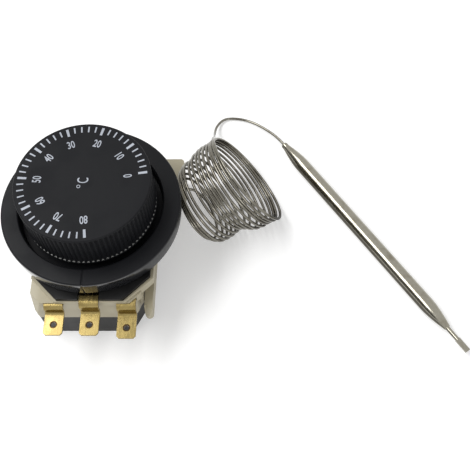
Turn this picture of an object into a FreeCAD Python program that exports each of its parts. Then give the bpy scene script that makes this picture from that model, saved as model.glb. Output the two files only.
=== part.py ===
import FreeCAD, Part

import math
import os

import Sketcher

V = FreeCAD.Vector

doc = FreeCAD.newDocument("capillary_temperature_switch")
sheet = doc.addObject("Spreadsheet::Sheet", "sizes")

# Driving sizes in millimetres and degrees. The spindle's axis is the Z axis, and Z = 0 is the
# underside of the base. The terminals point towards -Y.
DRIVING = {
    # Lower tray
    "base_height": 13.0,
    "base_floor": 2.6,
    "base_wall": 2.2,
    "base_inset": 0.15,
    # Moulded switch housing
    "body_offset": -0.6,
    "body_half": 18.2,
    "body_front": 32.1,
    "body_rear": 24.0,
    "body_corner": 1.0,
    "corner_cut_across": 5.5,
    "corner_cut_back": 10.6,
    "housing_height": 13.0,
    "housing_step": 11.9,
    "corner_bevel": 3.6,
    "lower_bevel": 3.6,
    "lower_bevel_height": 8.0,
    "housing_wall": 2.2,
    "housing_floor": 2.0,
    "rim_margin": 0.9,
    "room_ceiling": 8.4,
    "room_corner": 7.4,
    # Mounting plate
    "plate_offset": 1.3,
    "plate_half": 19.2,
    "plate_front": 31.9,
    "plate_rear": 22.0,
    "plate_corner": 8.4,
    "plate_thick": 1.35,
    "screw_pitch": 28.0,
    "screw_bore": 4.0,
    # Bezel
    "bezel_radius": 30.2,
    "bezel_height": 6.65,
    "bezel_opening": 24.2,
    "bezel_floor": 1.9,
    "bezel_edge": 0.5,
    "bezel_bore": 6.4,
    "index_width": 0.5,
    "index_depth": 0.25,
    # Knob
    "knob_clearance": 2.0,
    "knob_height": 15.0,
    "knob_sink": 0.8,
    "knob_top": 2.0,
    "knob_wall": 1.8,
    "knob_edge": 0.5,
    "knob_boss": 5.2,
    "knob_socket": 12.5,
    "rib_depth": 0.55,
    "rib_band": 13.6,
    "rib_count": 88.0,
    # Spindle and its bush
    "spindle_radius": 3.0,
    "spindle_flat": 1.5,
    "spindle_reach": 12.0,
    "stud_radius": 2.5,
    "stud_length": 4.4,
    "running_gap": 0.05,
    "bush_radius": 4.75,
    "bush_head": 6.0,
    "bush_head_height": 4.5,
    "bush_neck": 6.0,
    "clip_thick": 0.8,
    "clip_radius": 4.6,
    # Setting follower and its leaf
    "follower_radius": 3.9,
    "follower_floor": 0.9,
    "follower_key": 1.2,
    "setting_lift": 0.75,
    "leaf_thick": 0.4,
    "leaf_width": 7.0,
    "leaf_gap": 0.3,
    # Push pin and moving blade
    "pin_radius": 1.5,
    "pin_stroke": 0.4,
    "pin_gap": 0.2,
    "blade_thick": 0.4,
    "blade_width": 6.0,
    "blade_level": 5.0,
    "blade_hinge": 21.5,
    "blade_reach": 10.0,
    "blade_tail": 1.6,
    "contact_radius": 1.6,
    "contact_head": 0.6,
    "contact_gap": 0.15,
    # Terminals
    "tab_width": 6.3,
    "tab_thick": 0.8,
    "tab_offset": 1.0,
    "tab_pitch": 11.9,
    "tab_hole": 0.85,
    "tab_hole_inset": 3.6,
    "tab_bend": 1.5,
    "tab_inner_bend": 0.9,
    "tab_corner": 0.8,
    "tab_stand_off": 1.0,
    "left_reach": 8.1,
    "middle_reach": 8.4,
    "right_reach": 8.8,
    "left_drop": 5.5,
    "middle_drop": 4.9,
    "right_drop": 6.5,
    "slot_drop": 2.0,
    # Diaphragm capsule and its stud
    "capsule_radius": 14.5,
    "capsule_rim": 1.2,
    "capsule_height": 3.4,
    "capsule_button": 2.5,
    "capsule_lift": 5.0,
    "stud_foot_radius": 2.5,
    "stud_foot_skin": 1.2,
    "stud_boss_wall": 1.8,
    # Fasteners
    "rivet_radius": 1.4,
    "rivet_head": 2.6,
    "rivet_head_height": 0.7,
    # Arm and nose of the housing
    "arm_thick": 2.8,
    "arm_inner": 17.9,
    "arm_gap": 1.6,
    "arm_length": 26.0,
    "arm_root": 9.0,
    "arm_height": 5.0,
    "nose_reach": 10.9,
    "nose_front": 18.4,
    "nose_rear": 29.4,
    "nose_height": 14.0,
    "nose_floor": 2.0,
    # Capillary tube, bulb and sealed tail
    "tube_radius": 0.5,
    "lead_bore": 0.64,
    "bulb_radius": 2.7,
    "bulb_tip": 1.3,
    "bulb_ease": 0.5,
    "bulb_collar": 1.8,
    "bulb_shoulder": 10.5,
    "bulb_length": 91.0,
    "tail_length": 13.6,
    "tail_radius": 0.8,
}

# Sizes that follow from the driving ones.
DERIVED = {
    "parting": "=base_height",
    "plate_bottom": "=base_height + housing_height",
    "plate_top": "=base_height + housing_height + plate_thick",
    "bezel_top": "=plate_top + bezel_height",
    "knob_bottom": "=bezel_top - knob_sink",
    "knob_crown": "=knob_bottom + knob_height",
    "chamber_floor": "=base_height + housing_floor",
    "blade_bottom": "=base_height + blade_level",
    "blade_top": "=blade_bottom + blade_thick",
    "strip_top": "=blade_bottom - 0.1",
    "bush_bottom": "=plate_bottom - bush_head_height",
    "bush_top": "=plate_bottom + bush_neck",
    "stud_shoulder": "=plate_bottom + 0.5",
    "leaf_bottom": "=blade_top + pin_stroke + leaf_gap",
    "leaf_top": "=leaf_bottom + leaf_thick",
    "follower_bottom": "=leaf_top + leaf_gap",
    "base_half": "=body_half - base_inset",
    "base_front": "=body_front - base_inset",
    "base_rear": "=body_rear - base_inset",
    "rim_half": "=plate_half + rim_margin",
    "rim_front": "=plate_front + rim_margin / 3",
    "rim_rear": "=plate_rear + rim_margin",
    "well_half": "=base_half - base_wall",
    "well_front": "=base_front - base_wall",
    "well_rear": "=base_rear - base_wall",
    "room_half": "=body_half - housing_wall",
    "room_front": "=body_front - housing_wall",
    "room_rear": "=body_rear - housing_wall",
    "bezel_edge_radius": "=bezel_radius - bezel_edge",
    "bezel_edge_height": "=bezel_height - bezel_edge",
    "bezel_foot": "=bezel_radius - 0.4",
    "knob_radius": "=bezel_opening - knob_clearance",
    "knob_inside": "=knob_radius - rib_depth - knob_wall",
    "knob_under": "=knob_height - knob_top",
    "knob_collar": "=rib_band - 0.4",
    "knob_shoulder": "=knob_height - knob_edge",
    "knob_crown_radius": "=knob_radius - knob_edge",
    "bush_bore": "=spindle_radius + running_gap",
    "follower_bore": "=follower_radius + running_gap",
    "bush_inside": "=stud_shoulder - bush_bottom",
    "bush_height": "=bush_top - bush_bottom",
    "follower_height": "=stud_shoulder - setting_lift - 0.3 - follower_bottom",
    "follower_inside": "=stud_radius + running_gap",
    "capsule_rim_low": "=capsule_height / 2 - capsule_rim / 2",
    "capsule_rim_high": "=capsule_height / 2 + capsule_rim / 2",
    "capsule_shoulder": "=capsule_radius - 2.2",
    "capsule_valley_high": "=capsule_height - 0.7",
    "capsule_button_top": "=capsule_height + 0.6",
    "bulb_neck": "=tube_radius + 0.5",
    "bulb_waist": "=bulb_radius - 0.5",
    "bulb_step": "=bulb_shoulder * 0.58",
    "bulb_far_step": "=bulb_length - bulb_shoulder * 0.55",
    "bulb_far_shoulder": "=bulb_length - bulb_shoulder",
    "bulb_tail_radius": "=tail_radius + 0.3",
    "base_half_in": "=base_half - body_corner",
    "base_front_in": "=base_front - body_corner",
    "base_rear_in": "=base_rear - body_corner",
    "well_half_in": "=well_half - body_corner",
    "well_front_in": "=well_front - body_corner",
    "well_rear_in": "=well_rear - body_corner",
    "body_half_in": "=body_half - body_corner",
    "body_front_in": "=body_front - body_corner",
    "body_rear_in": "=body_rear - body_corner",
    "rim_half_in": "=rim_half - plate_corner",
    "rim_front_in": "=rim_front - plate_corner",
    "rim_rear_in": "=rim_rear - plate_corner",
    "room_half_in": "=room_half - room_corner",
    "room_front_in": "=room_front - room_corner",
    "room_rear_in": "=room_rear - room_corner",
    "den_half": "=room_half",
    "den_front": "=room_front",
    "den_rear": "=room_rear",
    "den_half_in": "=den_half - body_corner",
    "den_front_in": "=den_front - body_corner",
    "den_rear_in": "=den_rear - body_corner",
    "rivet_across": "=room_half - rivet_radius - 0.1",
    "pillar_radius": "=rivet_radius + 0.9",
    "plate_half_in": "=plate_half - plate_corner",
    "plate_front_in": "=plate_front - plate_corner",
    "plate_rear_in": "=plate_rear - plate_corner",
}


def fill_sheet():
    """Writes one alias and one value on each row of the sheet."""
    rows = [(alias, repr(number)) for alias, number in DRIVING.items()]
    rows += list(DERIVED.items())
    for row, (alias, content) in enumerate(rows, start=1):
        sheet.set(f"A{row}", alias)
        sheet.set(f"B{row}", content)
        sheet.setAlias(f"B{row}", alias)
    doc.recompute()


fill_sheet()


def size(alias):
    """The number that a cell holds."""
    return float(sheet.get(alias))


def signed(term):
    """The number behind a term such as "-plate_half", "plate_half" or "0"."""
    if term == "0":
        return 0.0
    return -size(term[1:]) if term.startswith("-") else size(term)


def bound(term):
    """The same term as an expression on the sheet."""
    if term == "0":
        return "0"
    return f"-sizes.{term[1:]}" if term.startswith("-") else f"sizes.{term}"


def place(thing, x="0", y="0", z="0"):
    """Binds a placement to three expressions."""
    for axis, text in zip("xyz", (x, y, z)):
        if text != "0":
            thing.setExpression(f"Placement.Base.{axis}", text)
    return thing


def cylinder(name, radius, height, x="0", y="0", z="0"):
    thing = doc.addObject("Part::Cylinder", name)
    thing.setExpression("Radius", radius)
    thing.setExpression("Height", height)
    return place(thing, x, y, z)


def cone(name, bottom, top, height, x="0", y="0", z="0"):
    thing = doc.addObject("Part::Cone", name)
    thing.setExpression("Radius1", bottom)
    thing.setExpression("Radius2", top)
    thing.setExpression("Height", height)
    return place(thing, x, y, z)


def box(name, length, width, height, x="0", y="0", z="0"):
    thing = doc.addObject("Part::Box", name)
    thing.setExpression("Length", length)
    thing.setExpression("Width", width)
    thing.setExpression("Height", height)
    return place(thing, x, y, z)


def fuse(name, *shapes):
    thing = doc.addObject("Part::MultiFuse", name)
    thing.Shapes = list(shapes)
    thing.Refine = True
    return thing


def cut(name, base, *tools):
    thing = doc.addObject("Part::Cut", name)
    thing.Base = base
    thing.Tool = tools[0] if len(tools) == 1 else fuse(f"{name}_tools", *tools)
    return thing


def origin_plane(body, role):
    """One of the three planes of a body's own origin."""
    return next(f for f in body.Origin.OriginFeatures if f.Role == role)


def polygon_sketch(body, name, role, corners):
    """A closed outline whose corners are each held by two dimensions bound to the sheet."""
    sketch = body.newObject("Sketcher::SketchObject", name)
    sketch.AttachmentSupport = (origin_plane(body, role), [""])
    sketch.MapMode = "FlatFace"
    points = [V(signed(a), signed(b), 0) for a, b in corners]
    count = len(points)
    for i in range(count):
        sketch.addGeometry(Part.LineSegment(points[i], points[(i + 1) % count]), False)
    for i in range(count):
        sketch.addConstraint(Sketcher.Constraint("Coincident", i, 2, (i + 1) % count, 1))
    for i, (a, b) in enumerate(corners):
        for kind, term, number in (("DistanceX", a, points[i].x), ("DistanceY", b, points[i].y)):
            if term == "0":
                axis = -2 if kind == "DistanceX" else -1
                sketch.addConstraint(Sketcher.Constraint("PointOnObject", i, 1, axis))
                continue
            held = sketch.addConstraint(Sketcher.Constraint(kind, -1, 1, i, 1, number))
            sketch.setExpression(f"Constraints[{held}]", bound(term))
    return sketch


def revolved(name, corners, z="0", x="0", y="0"):
    """A turned piece: its half section is a list of radius and height terms."""
    body = doc.addObject("PartDesign::Body", name)
    sketch = polygon_sketch(body, f"{name}_section", "XZ_Plane", corners)
    turn = body.newObject("PartDesign::Revolution", f"{name}_turn")
    turn.Profile = sketch
    turn.ReferenceAxis = (sketch, ["V_Axis"])
    turn.Angle = 360
    return place(body, x, y, z)


def padded(name, corners, height, z="0", x="0", y="0"):
    """A plate or block: its outline is a list of plan terms."""
    body = doc.addObject("PartDesign::Body", name)
    sketch = polygon_sketch(body, f"{name}_outline", "XY_Plane", corners)
    pad = body.newObject("PartDesign::Pad", f"{name}_pad")
    pad.Profile = sketch
    pad.setExpression("Length", height)
    return place(body, x, y, z)


def cut_corner_outline(half, front, rear, half_in, front_in, rear_in):
    """An eight-sided outline: a rectangle with its four corners cut."""
    return [
        (half_in, f"-{front}"),
        (half, f"-{front_in}"),
        (half, rear_in),
        (half_in, rear),
        (f"-{half_in}", rear),
        (f"-{half}", rear_in),
        (f"-{half}", f"-{front_in}"),
        (f"-{half_in}", f"-{front}"),
    ]


def outline_of(prefix):
    """The eight-sided outline whose cells begin with the given word."""
    sides = [f"{prefix}_{side}" for side in ("half", "front", "rear")]
    return cut_corner_outline(*sides, *[f"{side}_in" for side in sides])


# Bent strips and tubes follow a path of straight runs joined by tangent arcs.


def bent_path(points, radii):
    """A wire through the points, with an arc of the given radius at each inner point."""
    edges, start = [], points[0]
    for before, corner, after, radius in zip(points, points[1:], points[2:], radii):
        back, ahead = (before - corner).normalize(), (after - corner).normalize()
        turn = math.pi - back.getAngle(ahead)
        reach = radius * math.tan(turn / 2)
        middle_way = (back + ahead).normalize()
        centre = corner + middle_way * (radius / math.cos(turn / 2))
        first, last = corner + back * reach, corner + ahead * reach
        edges.append(Part.LineSegment(start, first).toShape())
        edges.append(Part.Arc(first, centre - middle_way * radius, last).toShape())
        start = last
    edges.append(Part.LineSegment(start, points[-1]).toShape())
    return Part.Wire(edges)


def open_radii(points):
    """At each inner point, 0.45 of the shorter run over the tangent of half the turn."""
    radii = []
    for before, corner, after in zip(points, points[1:], points[2:]):
        back, ahead = before - corner, after - corner
        turn = math.pi - back.getAngle(ahead)
        radii.append(0.45 * min(back.Length, ahead.Length) / math.tan(turn / 2))
    return radii


def tube(points, radii, radius, sides=8):
    """A tube with an even-sided section along a bent path."""
    path = bent_path(points, radii)
    ahead = (points[1] - points[0]).normalize()
    side = ahead.cross(V(0, 0, 1)).normalize()
    up = side.cross(ahead)
    ring = [
        points[0] + side * (radius * math.cos(a)) + up * (radius * math.sin(a))
        for a in (2 * math.pi * i / sides for i in range(sides))
    ]
    return path.makePipeShell([Part.makePolygon(ring + ring[:1])], True, True)


def strip(points, radii, width, thick):
    """A bent strip: a flat section, wide along X, swept along a path in the YZ plane."""
    path = bent_path(points, radii)
    ahead = (points[1] - points[0]).normalize()
    up = V(1, 0, 0).cross(ahead)
    corners = [
        points[0] + V(side * width / 2, 0, 0) + up * (lift * thick / 2)
        for side, lift in ((-1, -1), (1, -1), (1, 1), (-1, 1), (-1, -1))
    ]
    return path.makePipeShell([Part.makePolygon(corners)], True, True)


def coded(name, shape):
    """A piece whose shape is worked out in code."""
    thing = doc.addObject("Part::Feature", name)
    thing.Shape = shape
    return thing


# Lower tray


def build_base():
    outline = outline_of("base")
    well = outline_of("well")
    block = padded("base_block", outline, "sizes.base_height", x="sizes.body_offset")
    hollow = padded("base_hollow", well, "sizes.base_height", "sizes.base_floor", "sizes.body_offset")
    boss = cylinder("stud_boss", "sizes.stud_foot_radius + sizes.stud_boss_wall",
                    "sizes.capsule_lift - sizes.base_floor - 0.3", z="sizes.base_floor")
    hole = cylinder("stud_hole", "sizes.stud_foot_radius + sizes.running_gap",
                    "sizes.capsule_lift", z="sizes.stud_foot_skin")
    rivets = rivet_cylinders("base_rivet_hole", "sizes.rivet_radius + sizes.running_gap",
                             "sizes.base_height", "0")
    sinks = rivet_cylinders("base_rivet_sink", "sizes.rivet_head + 0.3",
                            "sizes.rivet_head_height + 0.2", "0")
    pillars = rivet_cylinders("base_pillar", "sizes.rivet_radius + 1.2", "sizes.base_height", "0")
    tray = cut("base_tray", block, hollow)
    waste, wall = corner_cut()
    post = fuse("base_posts", tray, boss, wall, *pillars)
    lead = coded("lead_passage", lead_shape(size("lead_bore") + 0.35))
    gap = arm_gap("base_arm_gap", "0", "sizes.base_height")
    return cut("base_cover", post, hole, lead, gap, waste, *rivets, *sinks)


def upright(name, outline, low, high):
    """A block with the given plan between two levels."""
    points = [V(x, y, low) for x, y in outline]
    face = Part.Face(Part.makePolygon(points + points[:1]))
    return coded(name, face.extrude(V(0, 0, high - low)))


def corner_cut():
    """The waste outside the tray's slanting front right corner, and the wall along it."""
    across, back, thick = (size(n) for n in ("corner_cut_across", "corner_cut_back", "base_wall"))
    right, front = size("body_offset") + size("base_half"), -size("base_front")
    slant = math.hypot(across, back)
    waste = upright("base_corner_waste", [
        (right - across, front), (right - across, front - 2), (right + 2, front - 2),
        (right + 2, front + back), (right, front + back),
    ], -1, size("base_height") + 1)
    wall = upright("base_corner_wall", [
        (right - across, front), (right, front + back), (right, front + back + thick * slant / across),
        (right - across - thick * slant / back, front),
    ], size("base_floor") - 0.5, size("base_height"))
    return waste, wall


def rivet_places():
    """Where the four rivets stand, as expressions on the sheet."""
    return [
        (f"sizes.body_offset + {side}sizes.rivet_across", y)
        for side in ("", "-")
        for y in ("-sizes.blade_hinge + 1.5", "sizes.capsule_radius * 0.7")
    ]


def rivet_cylinders(name, radius, height, z):
    return [
        cylinder(f"{name}_{i}", radius, height, x, y, z)
        for i, (x, y) in enumerate(rivet_places())
    ]


# Moulded housing


def build_housing():
    offset = "sizes.body_offset"
    lower = padded("housing_lower", outline_of("body"), "sizes.housing_step", "sizes.parting",
                   offset)
    upper = padded("housing_rim", outline_of("rim"),
                   "sizes.housing_height - sizes.housing_step + 2.4",
                   "sizes.parting + sizes.housing_step - 2.4", "sizes.plate_offset")
    chamber = padded("housing_chamber", outline_of("room"), "sizes.housing_height",
                     "sizes.chamber_floor", offset)
    den = padded("housing_den", outline_of("den"), "sizes.room_ceiling", "sizes.chamber_floor",
                 offset)
    gap = arm_gap("housing_arm_gap", "sizes.parting", "sizes.housing_step - 2.4")
    notched = cut("housing_notched", lower, gap, lower_wedge())
    solid = fuse("housing_solid", notched, upper, arm(), nose())
    pin_hole = cylinder("pin_hole", "sizes.pin_radius + sizes.running_gap", "sizes.housing_floor",
                        z="sizes.parting")
    rivets = rivet_cylinders("housing_rivet_hole", "sizes.rivet_radius + sizes.running_gap",
                             "sizes.housing_height", "sizes.parting")
    lead = coded("nose_passage", lead_shape(size("lead_bore")))
    pillars = rivet_cylinders("housing_pillar", "sizes.pillar_radius", "sizes.housing_height",
                              "sizes.parting")
    shell = cut("housing_shell", solid, chamber, den, *corner_wedges())
    posts = fuse("housing_posts", shell, *pillars)
    return cut("switch_housing", posts, pin_hole, lead, *rivets, *terminal_slots())


def corner_wedges():
    """The slanting facets that narrow the two front corners towards the plate."""
    wedges = []
    bevel, front = size("corner_bevel"), -size("body_front")
    top, low = size("parting") + size("housing_step"), size("parting") + 0.8
    for side, sign in (("left", -1), ("right", 1)):
        edge = size("body_offset") + sign * size("body_half")
        a = V(edge, front + bevel, top)
        b = V(edge - sign * bevel, front, top)
        c = V(edge, front, low)
        out = V(sign * 4, -4, 0)
        wedges.append(coded(f"corner_wedge_{side}", wedge(a, b, c, out)))
    return wedges


def lower_wedge():
    """The slanting facet that narrows the front right corner towards the tray."""
    edge, front = size("body_offset") + size("body_half"), -size("body_front")
    low, bevel = size("parting"), size("lower_bevel")
    a, b = V(edge, front + bevel * 2, low), V(edge - bevel, front, low)
    c = V(edge, front, low + size("lower_bevel_height"))
    return coded("lower_corner_wedge", wedge(a, b, c, V(4, -4, 0)))


def wedge(a, b, c, out):
    """A slab with one slanting face through three points, reaching outwards from them."""
    far = (a - c) * 0.5
    points = [a + far + (a - b), b + (b - c) * 0.5 + (b - a), c]
    face = Part.Face(Part.makePolygon(points + points[:1]))
    return face.extrude(out)


def arm_gap(name, level, height):
    """The narrow gap between the arm's end and the body's front corner."""
    return box(name, "sizes.arm_gap + 2", "4.6", height,
               "sizes.arm_inner - sizes.arm_gap", "-sizes.body_front - 0.5", level)


def arm():
    """The bar along the right flank, joined to it at the rear, with a rounded end."""
    front = "-sizes.body_front - 0.7 + sizes.arm_thick / 2"
    level = "sizes.parting + 0.2"
    bar = box("arm_bar", "sizes.arm_thick", "sizes.arm_length", "sizes.arm_height",
              "sizes.arm_inner", front, level)
    end = cylinder("arm_end", "sizes.arm_thick / 2", "sizes.arm_height",
                   "sizes.arm_inner + sizes.arm_thick / 2", front, level)
    root = box("arm_root_block", "sizes.arm_inner - sizes.body_half - sizes.body_offset + 1.5",
               "sizes.arm_root", "sizes.arm_height",
               "sizes.body_offset + sizes.body_half - 1",
               f"{front} + sizes.arm_length - sizes.arm_root", level)
    return fuse("arm", bar, end, root)


def nose():
    """The hood at the rear right corner, where the capillary leaves."""
    inner = "sizes.body_offset + sizes.base_half + 0.1"
    block = box("nose_block", "sizes.nose_reach", "sizes.nose_rear - sizes.nose_front",
                "sizes.nose_height", inner, "sizes.nose_front", "sizes.nose_floor")
    bridge = box("nose_bridge", "sizes.nose_reach + 3", "sizes.body_rear - sizes.nose_front",
                 "sizes.nose_height + sizes.nose_floor - sizes.parting",
                 f"{inner} - 3", "sizes.nose_front", "sizes.parting")
    hood = fuse("nose_hood", block, bridge)
    rounded = doc.addObject("Part::Fillet", "nose_rounded")
    rounded.Base = hood
    doc.recompute()
    right = size("body_offset") + size("base_half") + 0.1 + size("nose_reach")
    edges = [
        i for i, e in enumerate(hood.Shape.Edges, start=1)
        if all(abs(v.X - right) < 1e-4 for v in e.Vertexes)
        and abs(e.Vertexes[0].Z - e.Vertexes[-1].Z) > 1.0
    ]
    rounded.Edges = [(i, 1.4, 1.4) for i in edges]
    return rounded


def terminal_slots():
    """Slots in the front wall for the two outer terminals, and a notch for the middle one."""
    wide, deep = "sizes.tab_width + 0.3", "sizes.housing_wall + 3"
    thick = "sizes.tab_thick + 0.3"
    level = "sizes.plate_bottom - sizes.slot_drop - sizes.tab_thick / 2 - 0.15"
    places = [
        ("left", "-sizes.tab_pitch", level),
        ("right", "sizes.tab_pitch", level),
        ("middle", "0", "sizes.plate_bottom - sizes.tab_thick / 2 - 0.15"),
    ]
    slots = [
        box(f"slot_{name}", wide, deep, thick,
            f"sizes.tab_offset + {x} - sizes.tab_width / 2 - 0.15",
            "-sizes.body_front - 0.4", z)
        for name, x, z in places
    ]
    guides = [
        box(f"guide_{name}", wide, "sizes.room_front - sizes.blade_hinge - 2.8",
            f"{level} - sizes.chamber_floor",
            f"sizes.tab_offset + {x} - sizes.tab_width / 2 - 0.15",
            "-sizes.room_front - 0.05", "sizes.chamber_floor")
        for name, x, z in places[:2]
    ]
    return slots + guides


# Mounting plate, bezel and their screws


def screw_cylinders(name, radius, height, z):
    return [
        cylinder(f"{name}_{side}", radius, height, f"{sign}sizes.screw_pitch / 2", "0", z)
        for side, sign in (("left", "-"), ("right", ""))
    ]


def build_plate():
    outline = outline_of("plate")
    sheet_metal = padded("plate_blank", outline, "sizes.plate_thick", "sizes.plate_bottom",
                         "sizes.plate_offset")
    bush = cylinder("plate_bush_hole", "sizes.bush_radius + 0.02", "sizes.plate_thick",
                    z="sizes.plate_bottom")
    screws = screw_cylinders("plate_screw_hole", "sizes.screw_bore / 2", "sizes.plate_thick",
                             "sizes.plate_bottom")
    rivets = rivet_cylinders("plate_rivet_hole", "sizes.rivet_radius + sizes.running_gap",
                             "sizes.plate_thick", "sizes.plate_bottom")
    notch = box("plate_notch", "sizes.tab_width + 0.6", "4", "sizes.plate_thick",
                "sizes.tab_offset - sizes.tab_width / 2 - 0.3", "-sizes.plate_front - 0.5",
                "sizes.plate_bottom")
    return cut("mounting_plate", sheet_metal, bush, notch, *screws, *rivets)


def build_bezel():
    ring = revolved("bezel_ring", [
        ("bezel_bore", "0"),
        ("bezel_foot", "0"),
        ("bezel_radius", "bezel_edge"),
        ("bezel_radius", "bezel_edge_height"),
        ("bezel_edge_radius", "bezel_height"),
        ("bezel_opening", "bezel_height"),
        ("bezel_opening", "bezel_floor"),
        ("bezel_bore", "bezel_floor"),
    ], z="sizes.plate_top")
    screws = screw_cylinders("bezel_screw_hole", "sizes.screw_bore / 2 + 0.2",
                             "sizes.bezel_floor", "sizes.plate_top")
    top_mark = box("index_top", "sizes.index_width", "sizes.bezel_radius - sizes.bezel_opening + 1",
                   "sizes.index_depth", "-sizes.index_width / 2", "-sizes.bezel_radius - 0.5",
                   "sizes.bezel_top - sizes.index_depth")
    side_mark = box("index_side", "sizes.index_width", "sizes.index_depth + 1",
                    "sizes.bezel_height", "-sizes.index_width / 2",
                    "-sizes.bezel_radius - 1", "sizes.plate_top")
    tab_clear = box("bezel_tab_notch", "sizes.tab_width + 0.8", "4", "0.3",
                    "sizes.tab_offset - sizes.tab_width / 2 - 0.4", "-sizes.bezel_radius - 2",
                    "sizes.plate_top")
    return cut("bezel", ring, top_mark, side_mark, tab_clear, *screws)


def build_bezel_screws():
    top = "sizes.plate_top + sizes.bezel_floor"
    shanks = screw_cylinders("screw_shank", "sizes.screw_bore / 2 - sizes.running_gap",
                             "sizes.bezel_floor + sizes.plate_thick", "sizes.plate_bottom")
    heads = screw_cylinders("screw_head", "3.6", "1.6", top)
    slots = [
        box(f"screw_slot_{side}", "6.4", "0.9", "0.8",
            f"{sign}sizes.screw_pitch / 2 - 3.2", "-0.45", f"{top} + 0.9")
        for side, sign in (("left", "-"), ("right", ""))
    ]
    return cut("bezel_screws", fuse("screw_blanks", *shanks, *heads), *slots)


# Knob


def rib_ring():
    """The ribbed sleeve of the knob: crests and roots in turn round a star-shaped outline."""
    crest, root = size("knob_radius"), size("knob_radius") - size("rib_depth")
    count = int(size("rib_count"))
    bottom, pitch = size("knob_bottom"), 2 * math.pi / count
    shares = ((0.0, crest), (0.5, root))
    points = [
        V(radius * math.cos((i + share) * pitch), radius * math.sin((i + share) * pitch), bottom)
        for i in range(count)
        for share, radius in shares
    ]
    outline = Part.Face(Part.makePolygon(points + points[:1]))
    return coded("knob_ribs", outline.extrude(V(0, 0, size("rib_band"))))


def build_knob():
    cap = revolved("knob_cap", [
        ("0", "knob_collar"),
        ("knob_radius", "knob_collar"),
        ("knob_radius", "knob_shoulder"),
        ("knob_crown_radius", "knob_height"),
        ("0", "knob_height"),
    ], z="sizes.knob_bottom")
    hollow = cylinder("knob_hollow", "sizes.knob_inside", "sizes.knob_under",
                      z="sizes.knob_bottom")
    shell = cut("knob_shell", fuse("knob_outer", rib_ring(), cap), hollow)
    boss = cylinder("knob_boss_post", "sizes.knob_boss", "sizes.knob_under",
                    z="sizes.knob_bottom")
    webs = [
        box(f"knob_web_{i}", "2 * sizes.knob_inside + 1", "1.2", "sizes.knob_under / 2",
            "-sizes.knob_inside - 0.5", "-0.6", "sizes.knob_bottom + sizes.knob_under / 2")
        for i in range(2)
    ]
    cross = doc.addObject("Part::Feature", "knob_cross")
    doc.recompute()
    turned = webs[1].Shape.copy()
    turned.rotate(V(0, 0, 0), V(0, 0, 1), 90)
    cross.Shape = webs[0].Shape.fuse(turned)
    socket = socket_tool("knob_socket_tool", "sizes.running_gap", "sizes.knob_socket")
    return cut("knob", fuse("knob_joined", shell, boss, cross), socket)


def socket_tool(name, gap, height):
    """A D-shaped plug: the spindle's section with a gap all round."""
    post = cylinder(f"{name}_round", f"sizes.spindle_radius + {gap}", height,
                    z="sizes.knob_bottom")
    flat = box(f"{name}_flat", "20", "20", height, "-10",
               f"sizes.spindle_radius - sizes.spindle_flat + {gap}", "sizes.knob_bottom")
    return cut(name, post, flat)


def build_knob_spring():
    """The C-shaped spring ring that grips the knob's boss."""
    inner, outer = "sizes.knob_boss", "sizes.knob_boss + 0.9"
    level = "sizes.knob_bottom + 0.8"
    ring = cut("spring_ring_full", cylinder("spring_ring_outer", outer, "3.2", z=level),
               cylinder("spring_ring_inner", inner, "3.2", z=level))
    gap = box("spring_ring_gap", "sizes.knob_boss + 3", "2.4", "3.2", "0", "-1.2", level)
    return cut("knob_spring_ring", ring, gap)


# Spindle, bush, clip and follower


def build_spindle():
    shaft = cylinder("spindle_shaft", "sizes.spindle_radius",
                     "sizes.knob_bottom + sizes.spindle_reach - sizes.stud_shoulder",
                     z="sizes.stud_shoulder")
    stud = cylinder("spindle_stud", "sizes.stud_radius", "sizes.stud_length",
                    z="sizes.stud_shoulder - sizes.stud_length")
    flat = box("spindle_flat_cut", "20", "20", "sizes.spindle_reach + 0.2", "-10",
               "sizes.spindle_radius - sizes.spindle_flat", "sizes.knob_bottom - 0.2")
    slot = box("spindle_slot", "20", "0.8", "1.4", "-10", "-0.4",
               "sizes.knob_bottom + sizes.spindle_reach - 1.4")
    ring = cylinder("spindle_groove_outer", "sizes.spindle_radius + 1", "sizes.clip_thick + 0.1",
                    z="sizes.bush_top + 0.05")
    core = cylinder("spindle_groove_core", "sizes.spindle_radius - 0.5", "sizes.clip_thick + 0.1",
                    z="sizes.bush_top + 0.05")
    groove = cut("spindle_groove", ring, core)
    return cut("spindle", fuse("spindle_blank", shaft, stud), flat, slot, groove)


def build_clip():
    """The open retaining ring that sits in the spindle's groove above the bush."""
    level = "sizes.bush_top + 0.1"
    disc = cylinder("clip_disc", "sizes.clip_radius", "sizes.clip_thick", z=level)
    bore = cylinder("clip_bore", "sizes.spindle_radius - 0.45", "sizes.clip_thick", z=level)
    mouth = box("clip_mouth", "sizes.clip_radius + 1", "3.6", "sizes.clip_thick", "0", "-1.8", level)
    return cut("spindle_clip", disc, bore, mouth)


def build_bush():
    turned = revolved("bush_turned", [
        ("follower_bore", "0"),
        ("bush_head", "0"),
        ("bush_head", "bush_head_height"),
        ("bush_radius", "bush_head_height"),
        ("bush_radius", "bush_height"),
        ("bush_bore", "bush_height"),
        ("bush_bore", "bush_inside"),
        ("follower_bore", "bush_inside"),
    ], z="sizes.bush_bottom")
    keyway = box("bush_keyway", "sizes.follower_key + 0.2", "sizes.bush_head",
                 "sizes.bush_inside", "-sizes.follower_key / 2 - 0.1", "0", "sizes.bush_bottom")
    return cut("spindle_bush", turned, keyway)


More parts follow.
